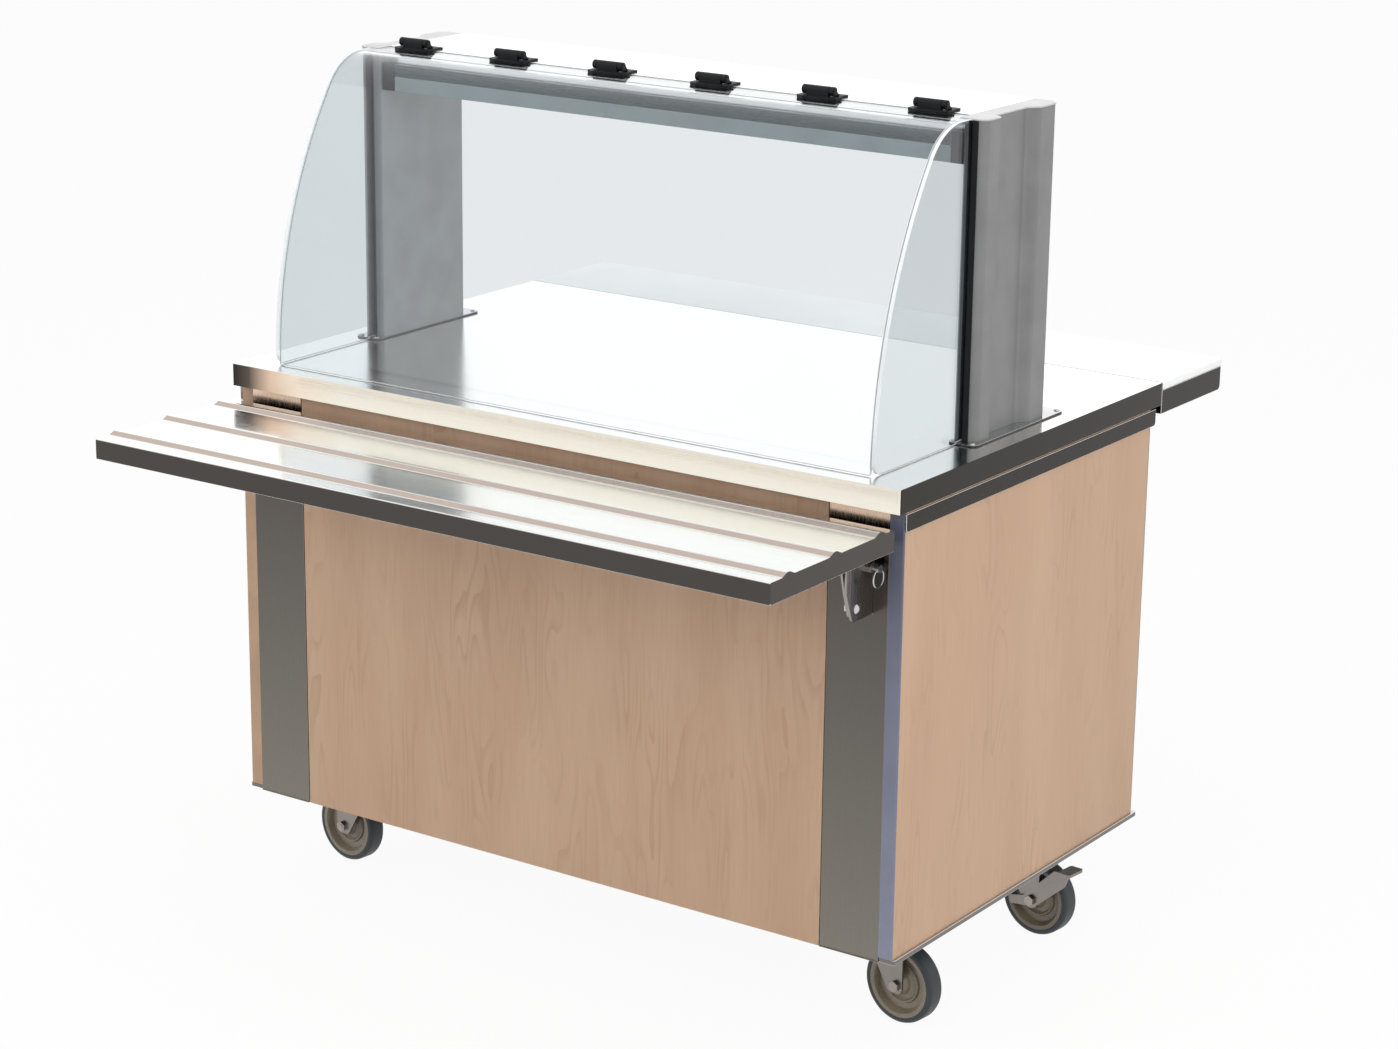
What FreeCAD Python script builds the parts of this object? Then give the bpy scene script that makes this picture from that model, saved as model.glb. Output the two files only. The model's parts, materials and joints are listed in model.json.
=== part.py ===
import FreeCAD, Part
import math
import os

# Mobile solid-top serving counter with a curved glass guard, a drop-down tray slide on the
# customer's side, a work board on the operator's side and four swivel casters.
# Millimetres. +Z up, the customer's side faces -Y, X runs along the counter.
# Origin: on the floor, under the middle of the whole outline.

V = FreeCAD.Vector

# ---------------------------------------------------------------- driving dimensions

# counter top: a folded sheet pan
TOP_LENGTH = 1270.0
TOP_DEPTH = 805.0
FASCIA_HEIGHT = 37.0
TOP_SHEET = 2.0
CORNER_ROUND = 3.0

# heights, stacked on the casters
BASE_HEIGHT = 8.0
PANEL_HEIGHT = 692.0

# body under the top
BODY_SETBACK = 18.0
BODY_REAR_SETBACK = 28.0
END_PANEL_INSET = 3.0
END_PANEL_THICKNESS = 24.0
EDGE_TRIM_THICKNESS = 3.0
EDGE_TRIM_ROUND = 2.4
FRONT_PANEL_THICKNESS = 16.0
STRIP_WIDTH = 103.0
STRIP_SHEET = 1.5
STRIP_LIP = 2.0
REVEAL = 1.5
TOP_RAIL_HEIGHT = 27.0
TOP_RAIL_DROP = 3.0
TOP_RAIL_OVERHANG = 10.0
TOP_RAIL_ROUND = 6.0
FRAME_TUBE_WIDTH = 30.0
FRAME_TUBE_WALL = 2.0

# base
BASE_SHEET = 2.0
BASE_RAIL_WIDTH = 30.0
BASE_RAIL_PROUD = 1.0
BASE_RAIL_OVERHANG = 10.0
CASTER_PLATE_STRIP = 120.0
SHELF_HEIGHT = 345.0
SHELF_SHEET = 1.5
SHELF_FLANGE = 25.0
SHELF_SIDE_GAP = 2.0
SHELF_SETBACK = 30.0
CLIP_LENGTH = 40.0
CLIP_LEG = 30.0
CLIP_SHEET = 3.0
CLIP_END_DISTANCE = 110.0

# tray slide
TRAY_DEPTH = 320.0
TRAY_GAP = 2.0
TRAY_END_INSET = 7.0
TRAY_DROP = 59.0
TRAY_SKIRT = 32.0
TRAY_SHEET = 1.5
RIB_COUNT = 3
RIB_FRONT_DISTANCE = 45.0
RIB_PITCH = 119.0
RIB_WIDTH = 32.0
RIB_TOP_WIDTH = 6.0
RIB_HEIGHT = 5.5
RIB_ROUND = 2.5

# tray slide bracket: a fixed ear through the strip, and a swinging arm beside it
EAR_INSET = 28.0
EAR_THICKNESS = 4.0
EAR_REACH = 54.0
EAR_TOP_GAP = 4.0
EAR_HEIGHT = 103.0
EAR_FLANGE = 28.0
ARM_THICKNESS = 4.0
ARM_GAP = 1.0
ARM_LENGTH = 250.0
ARM_TIP_HEIGHT = 16.0
ARM_MARGIN = 4.0
BRACKET_ROUND = 8.0
PIVOT_REACH = 24.0
PIVOT_DROP = 89.0
PIVOT_RADIUS = 5.0
PIVOT_HEAD_RADIUS = 8.5
PIVOT_DOME = 4.2
PIVOT_NUT_ACROSS = 15.0
PIVOT_NUT = 8.0
PIVOT_THREAD_END = 2.0
LOCK_REACH = 1.0
LOCK_RISE = 58.0
LOCK_PIN_RADIUS = 3.5
LOCK_TRAVEL = 6.0
LOCK_WINDOW_CLEARANCE = 0.4
LOCK_BUSH_RADIUS = 8.0
LOCK_BUSH_LENGTH = 11.0
LOCK_HEAD_RADIUS = 6.0
LOCK_HEAD_LENGTH = 6.0
RING_RADIUS = 14.0
RING_WIRE_RADIUS = 1.3

# work board on the operator's side
BOARD_DEPTH = 216.0
BOARD_THICKNESS = 12.5
BOARD_GAP = 1.0
BOARD_BRACKET_HEIGHT = 39.5
BOARD_BRACKET_SHEET = 3.0
BOARD_BRACKET_FLANGE = 25.0
BOARD_BRACKET_SETBACK = 6.0
BOARD_BRACKET_ROUND = 8.0

# guard columns
COLUMN_SETBACK = 279.0
COLUMN_DEPTH = 219.0
COLUMN_END_INSET = 85.0
COLUMN_BULGE = 43.0
COLUMN_FLAT = 28.0
COLUMN_SLANT = 6.0
COLUMN_FRONT_ROUND = 14.0
COLUMN_REAR_ROUND = 8.0
COLUMN_EDGE_ROUND = 3.0
COLUMN_WALL = 3.0
COLUMN_FRONT_WEB = 16.0
FRONT_BULGE_LENGTH = 42.0
REAR_BULGE_LENGTH = 58.0
FLUTE_LENGTH = 14.0
FLUTE_ROUND = 12.0
CAP_THICKNESS = 2.5
CAP_OVERHANG = 1.0
FOOT_PLATE_THICKNESS = 3.0
FOOT_PLATE_MARGIN = 2.0
FOOT_PLATE_OUTER_MARGIN = 8.0
FOOT_PLATE_FRONT = 13.0
FOOT_PLATE_REAR = 42.0
FOOT_PLATE_ROUND = 10.0
FOOT_SCREW_INSET = 9.0
FOOT_SCREW_GAP = 1.5
FOOT_SCREW_RADIUS = 2.5
FOOT_SCREW_HEAD_RADIUS = 5.0
FOOT_SCREW_CROWN_RADIUS = 3.0
FOOT_SCREW_HEAD = 2.2
FOOT_SCREW_LENGTH = 12.0

# glass
GLASS_THICKNESS = 6.0
GUARD_HEIGHT = 487.0
GLASS_FRONT_SETBACK = 33.0
GLASS_BEND_RADIUS = 98.5
GLASS_FLAT = 52.5
GLASS_FOOT_GAP = 1.5
GLASS_END_GAP = 2.0
END_GLASS_OFFSET = 14.0
END_GLASS_ROUND = 18.0
GASKET_WIDTH = 20.0
GASKET_DEPTH = 12.0
GASKET_INNER_LIP = 3.5
GASKET_CLEARANCE = 0.3
GLASS_ENTRY = 10.0

# canopy
CANOPY_INSET = 29.0
CANOPY_REAR_PROUD = 5.0
CANOPY_STEP = 1.0
CANOPY_SHEET = 1.5
CANOPY_FLANGE = 24.0
BEAM_INSET = 11.0
BEAM_DEPTH = 50.0
BEAM_HEIGHT = 22.0
BEAM_WALL = 2.0
HOUSING_HEIGHT = 25.0
HOUSING_WALL = 1.5
LENS_THICKNESS = 3.0
BEAM_SHOE_WIDTH = 25.0
BEAM_SHOE_PROUD = 1.0

# hinge clamps along the top edge of the curved glass
CLAMP_COUNT = 6
CLAMP_END_DISTANCE = 61.0
CLAMP_WIDTH = 69.0
CLAMP_GRIP = 20.0
UPPER_JAW = 5.0
LOWER_JAW = 3.5
JAW_WEB = 2.5
JAW_TAB = 6.0
JAW_NOSE_WIDTH = 36.0
JAW_ROUND = 2.0
JAW_WEB_INSET = 2.0
HINGE_INSET = 18.0
BARREL_RADIUS = 7.0
BARREL_RISE = 1.0
BARREL_WIDTH = 56.0
KNUCKLE_WIDTH = 40.0
HINGE_PIN_RADIUS = 3.0
HINGE_PIN_HEAD_RADIUS = 4.5
HINGE_PIN_HEAD = 1.0
LEAF_DEPTH = 27.0
LEAF_THICKNESS = 3.0

# casters
WHEEL_RADIUS = 63.5
TREAD_WIDTH = 32.0
TYRE_THICKNESS = 9.0
HUB_WIDTH = 37.0
HUB_RADIUS = 15.0
HUB_CHAMFER = 2.5
WEB_THICKNESS = 8.0
WEB_FLARE = 4.0
WEB_RING_WIDTH = 6.0
WEB_RING_HEIGHT = 3.0
RIM_THICKNESS = 8.0
RIM_CHAMFER = 1.5
RIM_SIDE_INSET = 1.0
TYRE_SIDE_INSET = 0.5
TREAD_CROWN = 3.0
AXLE_RADIUS = 5.0
AXLE_HEAD_ACROSS = 16.0
AXLE_HEAD = 6.0
AXLE_THREAD_END = 1.0
TRAIL = 42.0
WHEEL_HEADROOM = 13.6
CASTER_END_INSET = 118.0
CASTER_SIDE_INSET = 166.0
CASTER_YAW = -6.0
FORK_SHEET = 3.5
LEG_FOOT_RADIUS = 13.0
LEG_FOOT_ROUND = 10.4
LEG_TOP_BACK = 22.0
LEG_TOP_ROUND = 3.0
LEG_HEEL_DROP = 2.0
LEG_HEEL_ROUND = 6.0
RACE_RADIUS = 33.0
RACE_HEIGHT = 9.0
RACE_TAPER = 4.0
CROWN_HEIGHT = 11.0
CROWN_TAPER = 3.0
KINGPIN_RADIUS = 6.0
KINGPIN_HEAD_RADIUS = 11.0
KINGPIN_HEAD = 6.0
MOUNT_PLATE_LENGTH = 95.0
MOUNT_PLATE_WIDTH = 80.0
MOUNT_PLATE_THICKNESS = 4.0
MOUNT_HOLE_INSET = 11.0
MOUNT_PLATE_ROUND = 6.0
MOUNT_BOLT_RADIUS = 4.0
MOUNT_BOLT_HEAD_ACROSS = 13.0
MOUNT_BOLT_HEAD = 5.0

# brake lever on the rear casters
LEVER_SHEET = 3.0
LEVER_HUB_RADIUS = 14.0
LEVER_NECK = 8.0
LEVER_ROOT = 11.0
TAIL_LENGTH = 42.0
TAIL_DROP = 2.0
TAIL_WIDTH = 14.0
TAIL_ROUND = 5.0
PEDAL_X = 50.0
PEDAL_RISE = 62.0
PEDAL_LENGTH = 24.0
PEDAL_WIDTH = 40.0
PEDAL_THICKNESS = 5.0
PEDAL_ROUND = 4.0
CHEEK_BACK = 6.0
CHEEK_FRONT = 14.0
CHEEK_DROP = 24.0
CHEEK_ROUND = 8.0

# clearances
RUNNING_FIT = 0.05
MOVING_GAP = 0.4
HOLE_CLEARANCE = 0.2
OVERRUN = 1.0

# ---------------------------------------------------------------- derived sizes

HALF = TOP_LENGTH / 2
OVERALL_DEPTH = TRAY_DEPTH + TRAY_GAP + TOP_DEPTH + BOARD_GAP + BOARD_DEPTH
FRONT = TRAY_DEPTH + TRAY_GAP - OVERALL_DEPTH / 2
REAR = FRONT + TOP_DEPTH

CASTER_HEIGHT = (2 * WHEEL_RADIUS + WHEEL_HEADROOM + CROWN_HEIGHT + MOVING_GAP + RACE_HEIGHT
                 + MOUNT_PLATE_THICKNESS)
BASE_TOP = CASTER_HEIGHT + BASE_HEIGHT
PANEL_TOP = BASE_TOP + PANEL_HEIGHT
SURFACE = PANEL_TOP + FASCIA_HEIGHT

END_OUTSIDE = HALF - END_PANEL_INSET
END_INSIDE = END_OUTSIDE - END_PANEL_THICKNESS
BODY_FRONT = FRONT + BODY_SETBACK
BODY_REAR = REAR - BODY_REAR_SETBACK
PANEL_BACK = BODY_FRONT + FRONT_PANEL_THICKNESS
STRIP_INSIDE = END_INSIDE - STRIP_WIDTH

TRAY_BACK = FRONT - TRAY_GAP
TRAY_FRONT = TRAY_BACK - TRAY_DEPTH
TRAY_TOP = SURFACE - TRAY_DROP
TRAY_BOTTOM = TRAY_TOP - TRAY_SKIRT

PIVOT_Y = FRONT - PIVOT_REACH
PIVOT_Z = TRAY_BOTTOM - PIVOT_DROP
LOCK_Y = FRONT - LOCK_REACH
LOCK_Z = PIVOT_Z + LOCK_RISE
EAR_X = END_INSIDE - EAR_INSET
ARM_X = EAR_X - EAR_THICKNESS / 2 - ARM_GAP - ARM_THICKNESS / 2

COLUMN_INSIDE = HALF - COLUMN_END_INSET
COLUMN_FRONT = FRONT + COLUMN_SETBACK
COLUMN_REAR = COLUMN_FRONT + COLUMN_DEPTH
GUARD_TOP = SURFACE + GUARD_HEIGHT
COLUMN_BASE = SURFACE + FOOT_PLATE_THICKNESS
CANOPY_TOP = GUARD_TOP + CANOPY_STEP
COLUMN_TOP = CANOPY_TOP - CAP_THICKNESS

END_GLASS_INSIDE = COLUMN_INSIDE + END_GLASS_OFFSET
FRONT_GLASS_HALF = END_GLASS_INSIDE - GLASS_END_GAP
HINGE_Y = COLUMN_FRONT + HINGE_INSET
HINGE_Z = GUARD_TOP + UPPER_JAW + BARREL_RISE + BARREL_RADIUS
GLASS_REAR = HINGE_Y + CLAMP_GRIP / 2 - JAW_TAB / 2

CANOPY_FRONT = COLUMN_FRONT + CANOPY_INSET
CANOPY_REAR = COLUMN_REAR + CANOPY_REAR_PROUD
CANOPY_HALF = COLUMN_INSIDE
CLAMP_PITCH = 2 * (CANOPY_HALF - CLAMP_END_DISTANCE) / (CLAMP_COUNT - 1)
BEAM_FRONT = COLUMN_FRONT + BEAM_INSET
BEAM_TOP = CANOPY_TOP - CANOPY_FLANGE
BEAM_BOTTOM = BEAM_TOP - BEAM_HEIGHT
BEAM_HALF = COLUMN_INSIDE - BEAM_SHOE_WIDTH

AXLE_Z = WHEEL_RADIUS
RACE_BOTTOM = CASTER_HEIGHT - MOUNT_PLATE_THICKNESS - RACE_HEIGHT
CROWN_TOP = RACE_BOTTOM - MOVING_GAP
CROWN_BOTTOM = CROWN_TOP - CROWN_HEIGHT
LEG_INSIDE = HUB_WIDTH / 2 + MOVING_GAP
LEG_OUTSIDE = LEG_INSIDE + FORK_SHEET
CASTER_X = HALF - CASTER_END_INSET
CASTER_FRONT_Y = BODY_FRONT + CASTER_SIDE_INSET
CASTER_REAR_Y = BODY_REAR - CASTER_SIDE_INSET

# name, x, y, heading of the trail, braked or not
CASTERS = (
    ("front_left", -CASTER_X, CASTER_FRONT_Y, 180.0 + CASTER_YAW, False),
    ("front_right", CASTER_X, CASTER_FRONT_Y, CASTER_YAW, False),
    ("rear_left", -CASTER_X, CASTER_REAR_Y, 180.0 + CASTER_YAW, True),
    ("rear_right", CASTER_X, CASTER_REAR_Y, CASTER_YAW, True),
)

# ---------------------------------------------------------------- helpers


def block(x0, x1, y0, y1, z0, z1):
    return Part.makeBox(x1 - x0, y1 - y0, z1 - z0, V(x0, y0, z0))


def rod(radius, start, end):
    axis = end - start
    return Part.makeCylinder(radius, axis.Length, start, axis)


def fuse(shapes):
    joined = shapes[0].multiFuse(shapes[1:]) if len(shapes) > 1 else shapes[0]
    return joined.removeSplitter()


def both_sides(shape):
    return Part.makeCompound([mirrored(shape), shape])


def mirrored(shape):
    return shape.mirror(V(0, 0, 0), V(1, 0, 0))


def rounded_wire(corners, to_space):
    """A closed wire through corners (u, v, radius), each rounded with a tangent arc."""
    count = len(corners)
    points = [V(u, v, 0) for u, v, _ in corners]
    edges = []
    previous_end = None
    first_start = None
    for i in range(count):
        corner = points[i]
        before = (points[i - 1] - corner).normalize()
        after = (points[(i + 1) % count] - corner).normalize()
        radius = corners[i][2]
        if radius > 0:
            half_turn = before.getAngle(after) / 2
            setback = radius / math.tan(half_turn)
            start = corner + before * setback
            end = corner + after * setback
            bisector = (before + after).normalize()
            middle = corner + bisector * (radius / math.sin(half_turn) - radius)
        else:
            start = end = corner
        if previous_end is not None and (start - previous_end).Length > 1e-6:
            edges.append(Part.makeLine(to_space(previous_end), to_space(start)))
        if radius > 0:
            edges.append(Part.Arc(to_space(start), to_space(middle), to_space(end)).toShape())
        if first_start is None:
            first_start = start
        previous_end = end
    if (first_start - previous_end).Length > 1e-6:
        edges.append(Part.makeLine(to_space(previous_end), to_space(first_start)))
    return Part.Wire(edges)


def plate_xy(corners, z0, z1):
    wire = rounded_wire(corners, lambda p: V(p.x, p.y, z0))
    return Part.Face(wire).extrude(V(0, 0, z1 - z0))


def plate_yz(corners, x0, x1):
    wire = rounded_wire(corners, lambda p: V(x0, p.x, p.y))
    return Part.Face(wire).extrude(V(x1 - x0, 0, 0))


def plate_xz(corners, y0, y1):
    wire = rounded_wire(corners, lambda p: V(p.x, y0, p.y))
    return Part.Face(wire).extrude(V(0, y1 - y0, 0))


def rectangle(u0, u1, v0, v1, radius=0.0):
    return [(u0, v0, radius), (u1, v0, radius), (u1, v1, radius), (u0, v1, radius)]


def hexagon(across, start, end):
    """A hexagonal head between two points on one axis."""
    axis = end - start
    radius = across / math.sqrt(3)
    side = V(0, 0, 1) if abs(axis.z) < axis.Length / 2 else V(1, 0, 0)
    other = axis.cross(side).normalize()
    ring = []
    for i in range(7):
        turn = math.radians(60 * i)
        ring.append(start + side * (radius * math.cos(turn)) + other * (radius * math.sin(turn)))
    return Part.Face(Part.makePolygon(ring)).extrude(axis)


# ---------------------------------------------------------------- counter


def counter_top():
    outer = plate_xy(rectangle(-HALF, HALF, FRONT, REAR, CORNER_ROUND), PANEL_TOP, SURFACE)
    inner = block(-HALF + TOP_SHEET, HALF - TOP_SHEET, FRONT + TOP_SHEET, REAR - TOP_SHEET,
                  PANEL_TOP, SURFACE - TOP_SHEET)
    pan = outer.cut(inner)
    for x, y in foot_screw_places():
        for side in (-1, 1):
            hole = rod(FOOT_SCREW_RADIUS + HOLE_CLEARANCE,
                       V(side * x, y, SURFACE - TOP_SHEET), V(side * x, y, SURFACE))
            pan = pan.cut(hole)
    return pan


def tube_x(x0, x1, y0, y1, z0, z1, wall):
    return block(x0, x1, y0, y1, z0, z1).cut(block(x0, x1, y0 + wall, y1 - wall, z0 + wall, z1 - wall))


def tube_y(x0, x1, y0, y1, z0, z1, wall):
    return block(x0, x1, y0, y1, z0, z1).cut(block(x0 + wall, x1 - wall, y0, y1, z0 + wall, z1 - wall))


def top_frame():
    z0 = PANEL_TOP
    z1 = SURFACE - TOP_SHEET
    side = END_OUTSIDE - FRAME_TUBE_WIDTH
    front = tube_x(-END_OUTSIDE, END_OUTSIDE, BODY_FRONT, BODY_FRONT + FRAME_TUBE_WIDTH,
                   z0, z1, FRAME_TUBE_WALL)
    rear = tube_x(-END_OUTSIDE, END_OUTSIDE, BODY_REAR - FRAME_TUBE_WIDTH, BODY_REAR,
                  z0, z1, FRAME_TUBE_WALL)
    y0 = BODY_FRONT + FRAME_TUBE_WIDTH
    y1 = BODY_REAR - FRAME_TUBE_WIDTH
    tubes = [front, rear]
    middle = COLUMN_INSIDE - 2 * FRAME_TUBE_WIDTH
    for sign in (-1, 1):
        outer = sorted((sign * side, sign * END_OUTSIDE))
        inner = sorted((sign * (middle - FRAME_TUBE_WIDTH), sign * middle))
        tubes.append(tube_y(outer[0], outer[1], y0, y1, z0, z1, FRAME_TUBE_WALL))
        tubes.append(tube_y(inner[0], inner[1], y0, y1, z0, z1, FRAME_TUBE_WALL))
    return fuse(tubes)


# ---------------------------------------------------------------- body


def front_panel():
    half = STRIP_INSIDE - REVEAL
    return block(-half, half, BODY_FRONT, PANEL_BACK, CASTER_HEIGHT, PANEL_TOP)


def front_strip():
    """A folded channel, open at the back, with a small lip along its lower edge."""
    x0 = STRIP_INSIDE
    x1 = END_INSIDE
    outer = block(x0, x1, BODY_FRONT, PANEL_BACK, CASTER_HEIGHT, PANEL_TOP)
    hollow = block(x0 + STRIP_SHEET, x1 - STRIP_SHEET, BODY_FRONT + STRIP_SHEET, PANEL_BACK,
                   CASTER_HEIGHT + STRIP_SHEET, PANEL_TOP - STRIP_SHEET)
    lip = block(x0, x1, BODY_FRONT - STRIP_LIP, BODY_FRONT, CASTER_HEIGHT, CASTER_HEIGHT + STRIP_SHEET)
    slot = block(EAR_X - EAR_THICKNESS / 2 - MOVING_GAP, EAR_X + EAR_THICKNESS / 2 + MOVING_GAP,
                 BODY_FRONT, BODY_FRONT + STRIP_SHEET,
                 ear_bottom() - MOVING_GAP, ear_top() + MOVING_GAP)
    return fuse([outer.cut(hollow).cut(slot), lip])


def end_panel():
    return block(END_INSIDE, END_OUTSIDE, BODY_FRONT + EDGE_TRIM_THICKNESS,
                 BODY_REAR - EDGE_TRIM_THICKNESS, BASE_TOP, PANEL_TOP)


def edge_trims():
    """The bands on the front and back edges of one end panel."""
    soft = EDGE_TRIM_ROUND
    front = plate_xy([(END_INSIDE, BODY_FRONT, 0), (END_OUTSIDE, BODY_FRONT, soft),
                      (END_OUTSIDE, BODY_FRONT + EDGE_TRIM_THICKNESS, 0),
                      (END_INSIDE, BODY_FRONT + EDGE_TRIM_THICKNESS, 0)], BASE_TOP, PANEL_TOP)
    back = plate_xy([(END_INSIDE, BODY_REAR - EDGE_TRIM_THICKNESS, 0),
                     (END_OUTSIDE, BODY_REAR - EDGE_TRIM_THICKNESS, 0),
                     (END_OUTSIDE, BODY_REAR, soft), (END_INSIDE, BODY_REAR, soft)], BASE_TOP, PANEL_TOP)
    return Part.makeCompound([front, back])


def end_top_rail():
    z1 = PANEL_TOP - TOP_RAIL_DROP
    z0 = z1 - TOP_RAIL_HEIGHT
    outline = [(BODY_FRONT, z0, TOP_RAIL_ROUND), (BODY_REAR + TOP_RAIL_OVERHANG, z0, TOP_RAIL_ROUND),
               (BODY_REAR + TOP_RAIL_OVERHANG, z1, 0), (BODY_FRONT, z1, 0)]
    return plate_yz(outline, END_OUTSIDE, HALF)


def base_pan():
    """Sheet floor of the cabinet with a turned-down rim, and a flat bar under each end panel."""
    y0 = PANEL_BACK
    y1 = BODY_REAR
    bar_inside = END_OUTSIDE - BASE_RAIL_WIDTH
    outer = block(-bar_inside, bar_inside, y0, y1, CASTER_HEIGHT, BASE_TOP)
    hollow = block(-bar_inside, bar_inside, y0 + BASE_SHEET, y1 - BASE_SHEET,
                   CASTER_HEIGHT, BASE_TOP - BASE_SHEET)
    end = HALF + BASE_RAIL_PROUD
    bar = plate_xy([(bar_inside, y0, 0), (END_INSIDE, y0, 0), (END_INSIDE, BODY_FRONT + STRIP_LIP, 0),
                    (end, BODY_FRONT + STRIP_LIP, CORNER_ROUND),
                    (end, BODY_REAR + BASE_RAIL_OVERHANG, CORNER_ROUND),
                    (bar_inside, BODY_REAR + BASE_RAIL_OVERHANG, 0)], CASTER_HEIGHT, BASE_TOP)
    return fuse([outer.cut(hollow), bar, mirrored(bar)])


def caster_strips():
    """Two flat bars under the floor that take the caster bolts."""
    half = CASTER_PLATE_STRIP / 2
    bar = block(CASTER_X - half, CASTER_X + half, PANEL_BACK + BASE_SHEET, BODY_REAR - BASE_SHEET,
                CASTER_HEIGHT, BASE_TOP - BASE_SHEET)
    left = mirrored(bar)
    for x, y in mount_bolt_places():
        hole = rod(MOUNT_BOLT_RADIUS + RUNNING_FIT, V(x, y, CASTER_HEIGHT), V(x, y, BASE_TOP))
        if x > 0:
            bar = bar.cut(hole)
        else:
            left = left.cut(hole)
    return Part.makeCompound([left, bar])


def middle_shelf():
    half = END_INSIDE - SHELF_SIDE_GAP
    y0 = PANEL_BACK + SHELF_SIDE_GAP
    y1 = BODY_REAR - SHELF_SETBACK
    z1 = BASE_TOP + SHELF_HEIGHT
    outer = block(-half, half, y0, y1, z1 - SHELF_FLANGE, z1)
    inner = block(-half, half, y0 + SHELF_SHEET, y1 - SHELF_SHEET, z1 - SHELF_FLANGE, z1 - SHELF_SHEET)
    return outer.cut(inner)


def shelf_clips():
    """Four angle clips on the end panels, under the shelf's sheet."""
    z1 = BASE_TOP + SHELF_HEIGHT - SHELF_SHEET
    clips = []
    for y in (BODY_FRONT + CLIP_END_DISTANCE, BODY_REAR - CLIP_END_DISTANCE - CLIP_LENGTH):
        flat = block(END_INSIDE - CLIP_LEG, END_INSIDE, y, y + CLIP_LENGTH, z1 - CLIP_SHEET, z1)
        upright = block(END_INSIDE - CLIP_SHEET, END_INSIDE, y, y + CLIP_LENGTH,
                        z1 - CLIP_LEG, z1)
        clip = fuse([flat, upright])
        clips += [mirrored(clip), clip]
    return Part.makeCompound(clips)


# ---------------------------------------------------------------- tray slide


def rib_centres():
    return [TRAY_FRONT + RIB_FRONT_DISTANCE + RIB_PITCH * i for i in range(RIB_COUNT)]


def tray_outline(drop, edge):
    """The tray's section across its depth, lowered and narrowed for the inner side."""
    top = TRAY_TOP - drop
    corners = [(TRAY_FRONT + edge, TRAY_BOTTOM, 0), (TRAY_FRONT + edge, top, RIB_ROUND)]
    for y in rib_centres():
        corners += [(y - RIB_WIDTH / 2, top, RIB_ROUND),
                    (y - RIB_TOP_WIDTH / 2, top + RIB_HEIGHT, RIB_ROUND),
                    (y + RIB_TOP_WIDTH / 2, top + RIB_HEIGHT, RIB_ROUND),
                    (y + RIB_WIDTH / 2, top, RIB_ROUND)]
    corners += [(TRAY_BACK - edge, top, RIB_ROUND), (TRAY_BACK - edge, TRAY_BOTTOM, 0)]
    return corners


def tray_slide():
    half = HALF - TRAY_END_INSET
    outer = plate_yz(tray_outline(0, 0), -half, half)
    inner = plate_yz(tray_outline(TRAY_SHEET, TRAY_SHEET), -half + TRAY_SHEET, half - TRAY_SHEET)
    return outer.cut(inner)


def tray_arm():
    """Swinging arm: a limb under the tray, a leg down to the pivot, a window for the lock pin."""
    top = TRAY_TOP - TRAY_SHEET
    back = TRAY_BACK - TRAY_SHEET - RIB_ROUND
    clear = TRAY_BOTTOM - MOVING_GAP
    lock_edge = LOCK_Y + LOCK_BUSH_RADIUS
    pivot_edge = PIVOT_HEAD_RADIUS + ARM_MARGIN
    soft = BRACKET_ROUND
    outline = [(back, top, 0), (back - ARM_LENGTH, top, 0),
               (back - ARM_LENGTH, top - ARM_TIP_HEIGHT, ARM_MARGIN),
               (FRONT - EAR_REACH - pivot_edge, clear, soft),
               (PIVOT_Y - 2 * pivot_edge, PIVOT_Z + 2 * pivot_edge, soft),
               (PIVOT_Y - pivot_edge, PIVOT_Z - pivot_edge, soft),
               (PIVOT_Y + pivot_edge, PIVOT_Z - pivot_edge, soft),
               (lock_edge, LOCK_Z - 2 * LOCK_BUSH_RADIUS, soft),
               (lock_edge, clear, ARM_MARGIN / 2), (back, clear, 0)]
    plate = plate_yz(outline, ARM_X - ARM_THICKNESS / 2, ARM_X + ARM_THICKNESS / 2)
    flange = block(ARM_X - ARM_THICKNESS / 2 - EAR_FLANGE, ARM_X - ARM_THICKNESS / 2,
                   back - ARM_LENGTH, back, top - ARM_THICKNESS, top)
    arm = fuse([plate, flange])
    arm = arm.cut(rod(PIVOT_RADIUS + RUNNING_FIT, V(0, PIVOT_Y, PIVOT_Z), V(HALF, PIVOT_Y, PIVOT_Z)))
    window = LOCK_PIN_RADIUS + LOCK_WINDOW_CLEARANCE
    return arm.cut(block(0, HALF, LOCK_Y - window, LOCK_Y + window, LOCK_Z - window, LOCK_Z + window))


def ear_top():
    return TRAY_BOTTOM - EAR_TOP_GAP


def ear_bottom():
    return ear_top() - EAR_HEIGHT


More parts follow.
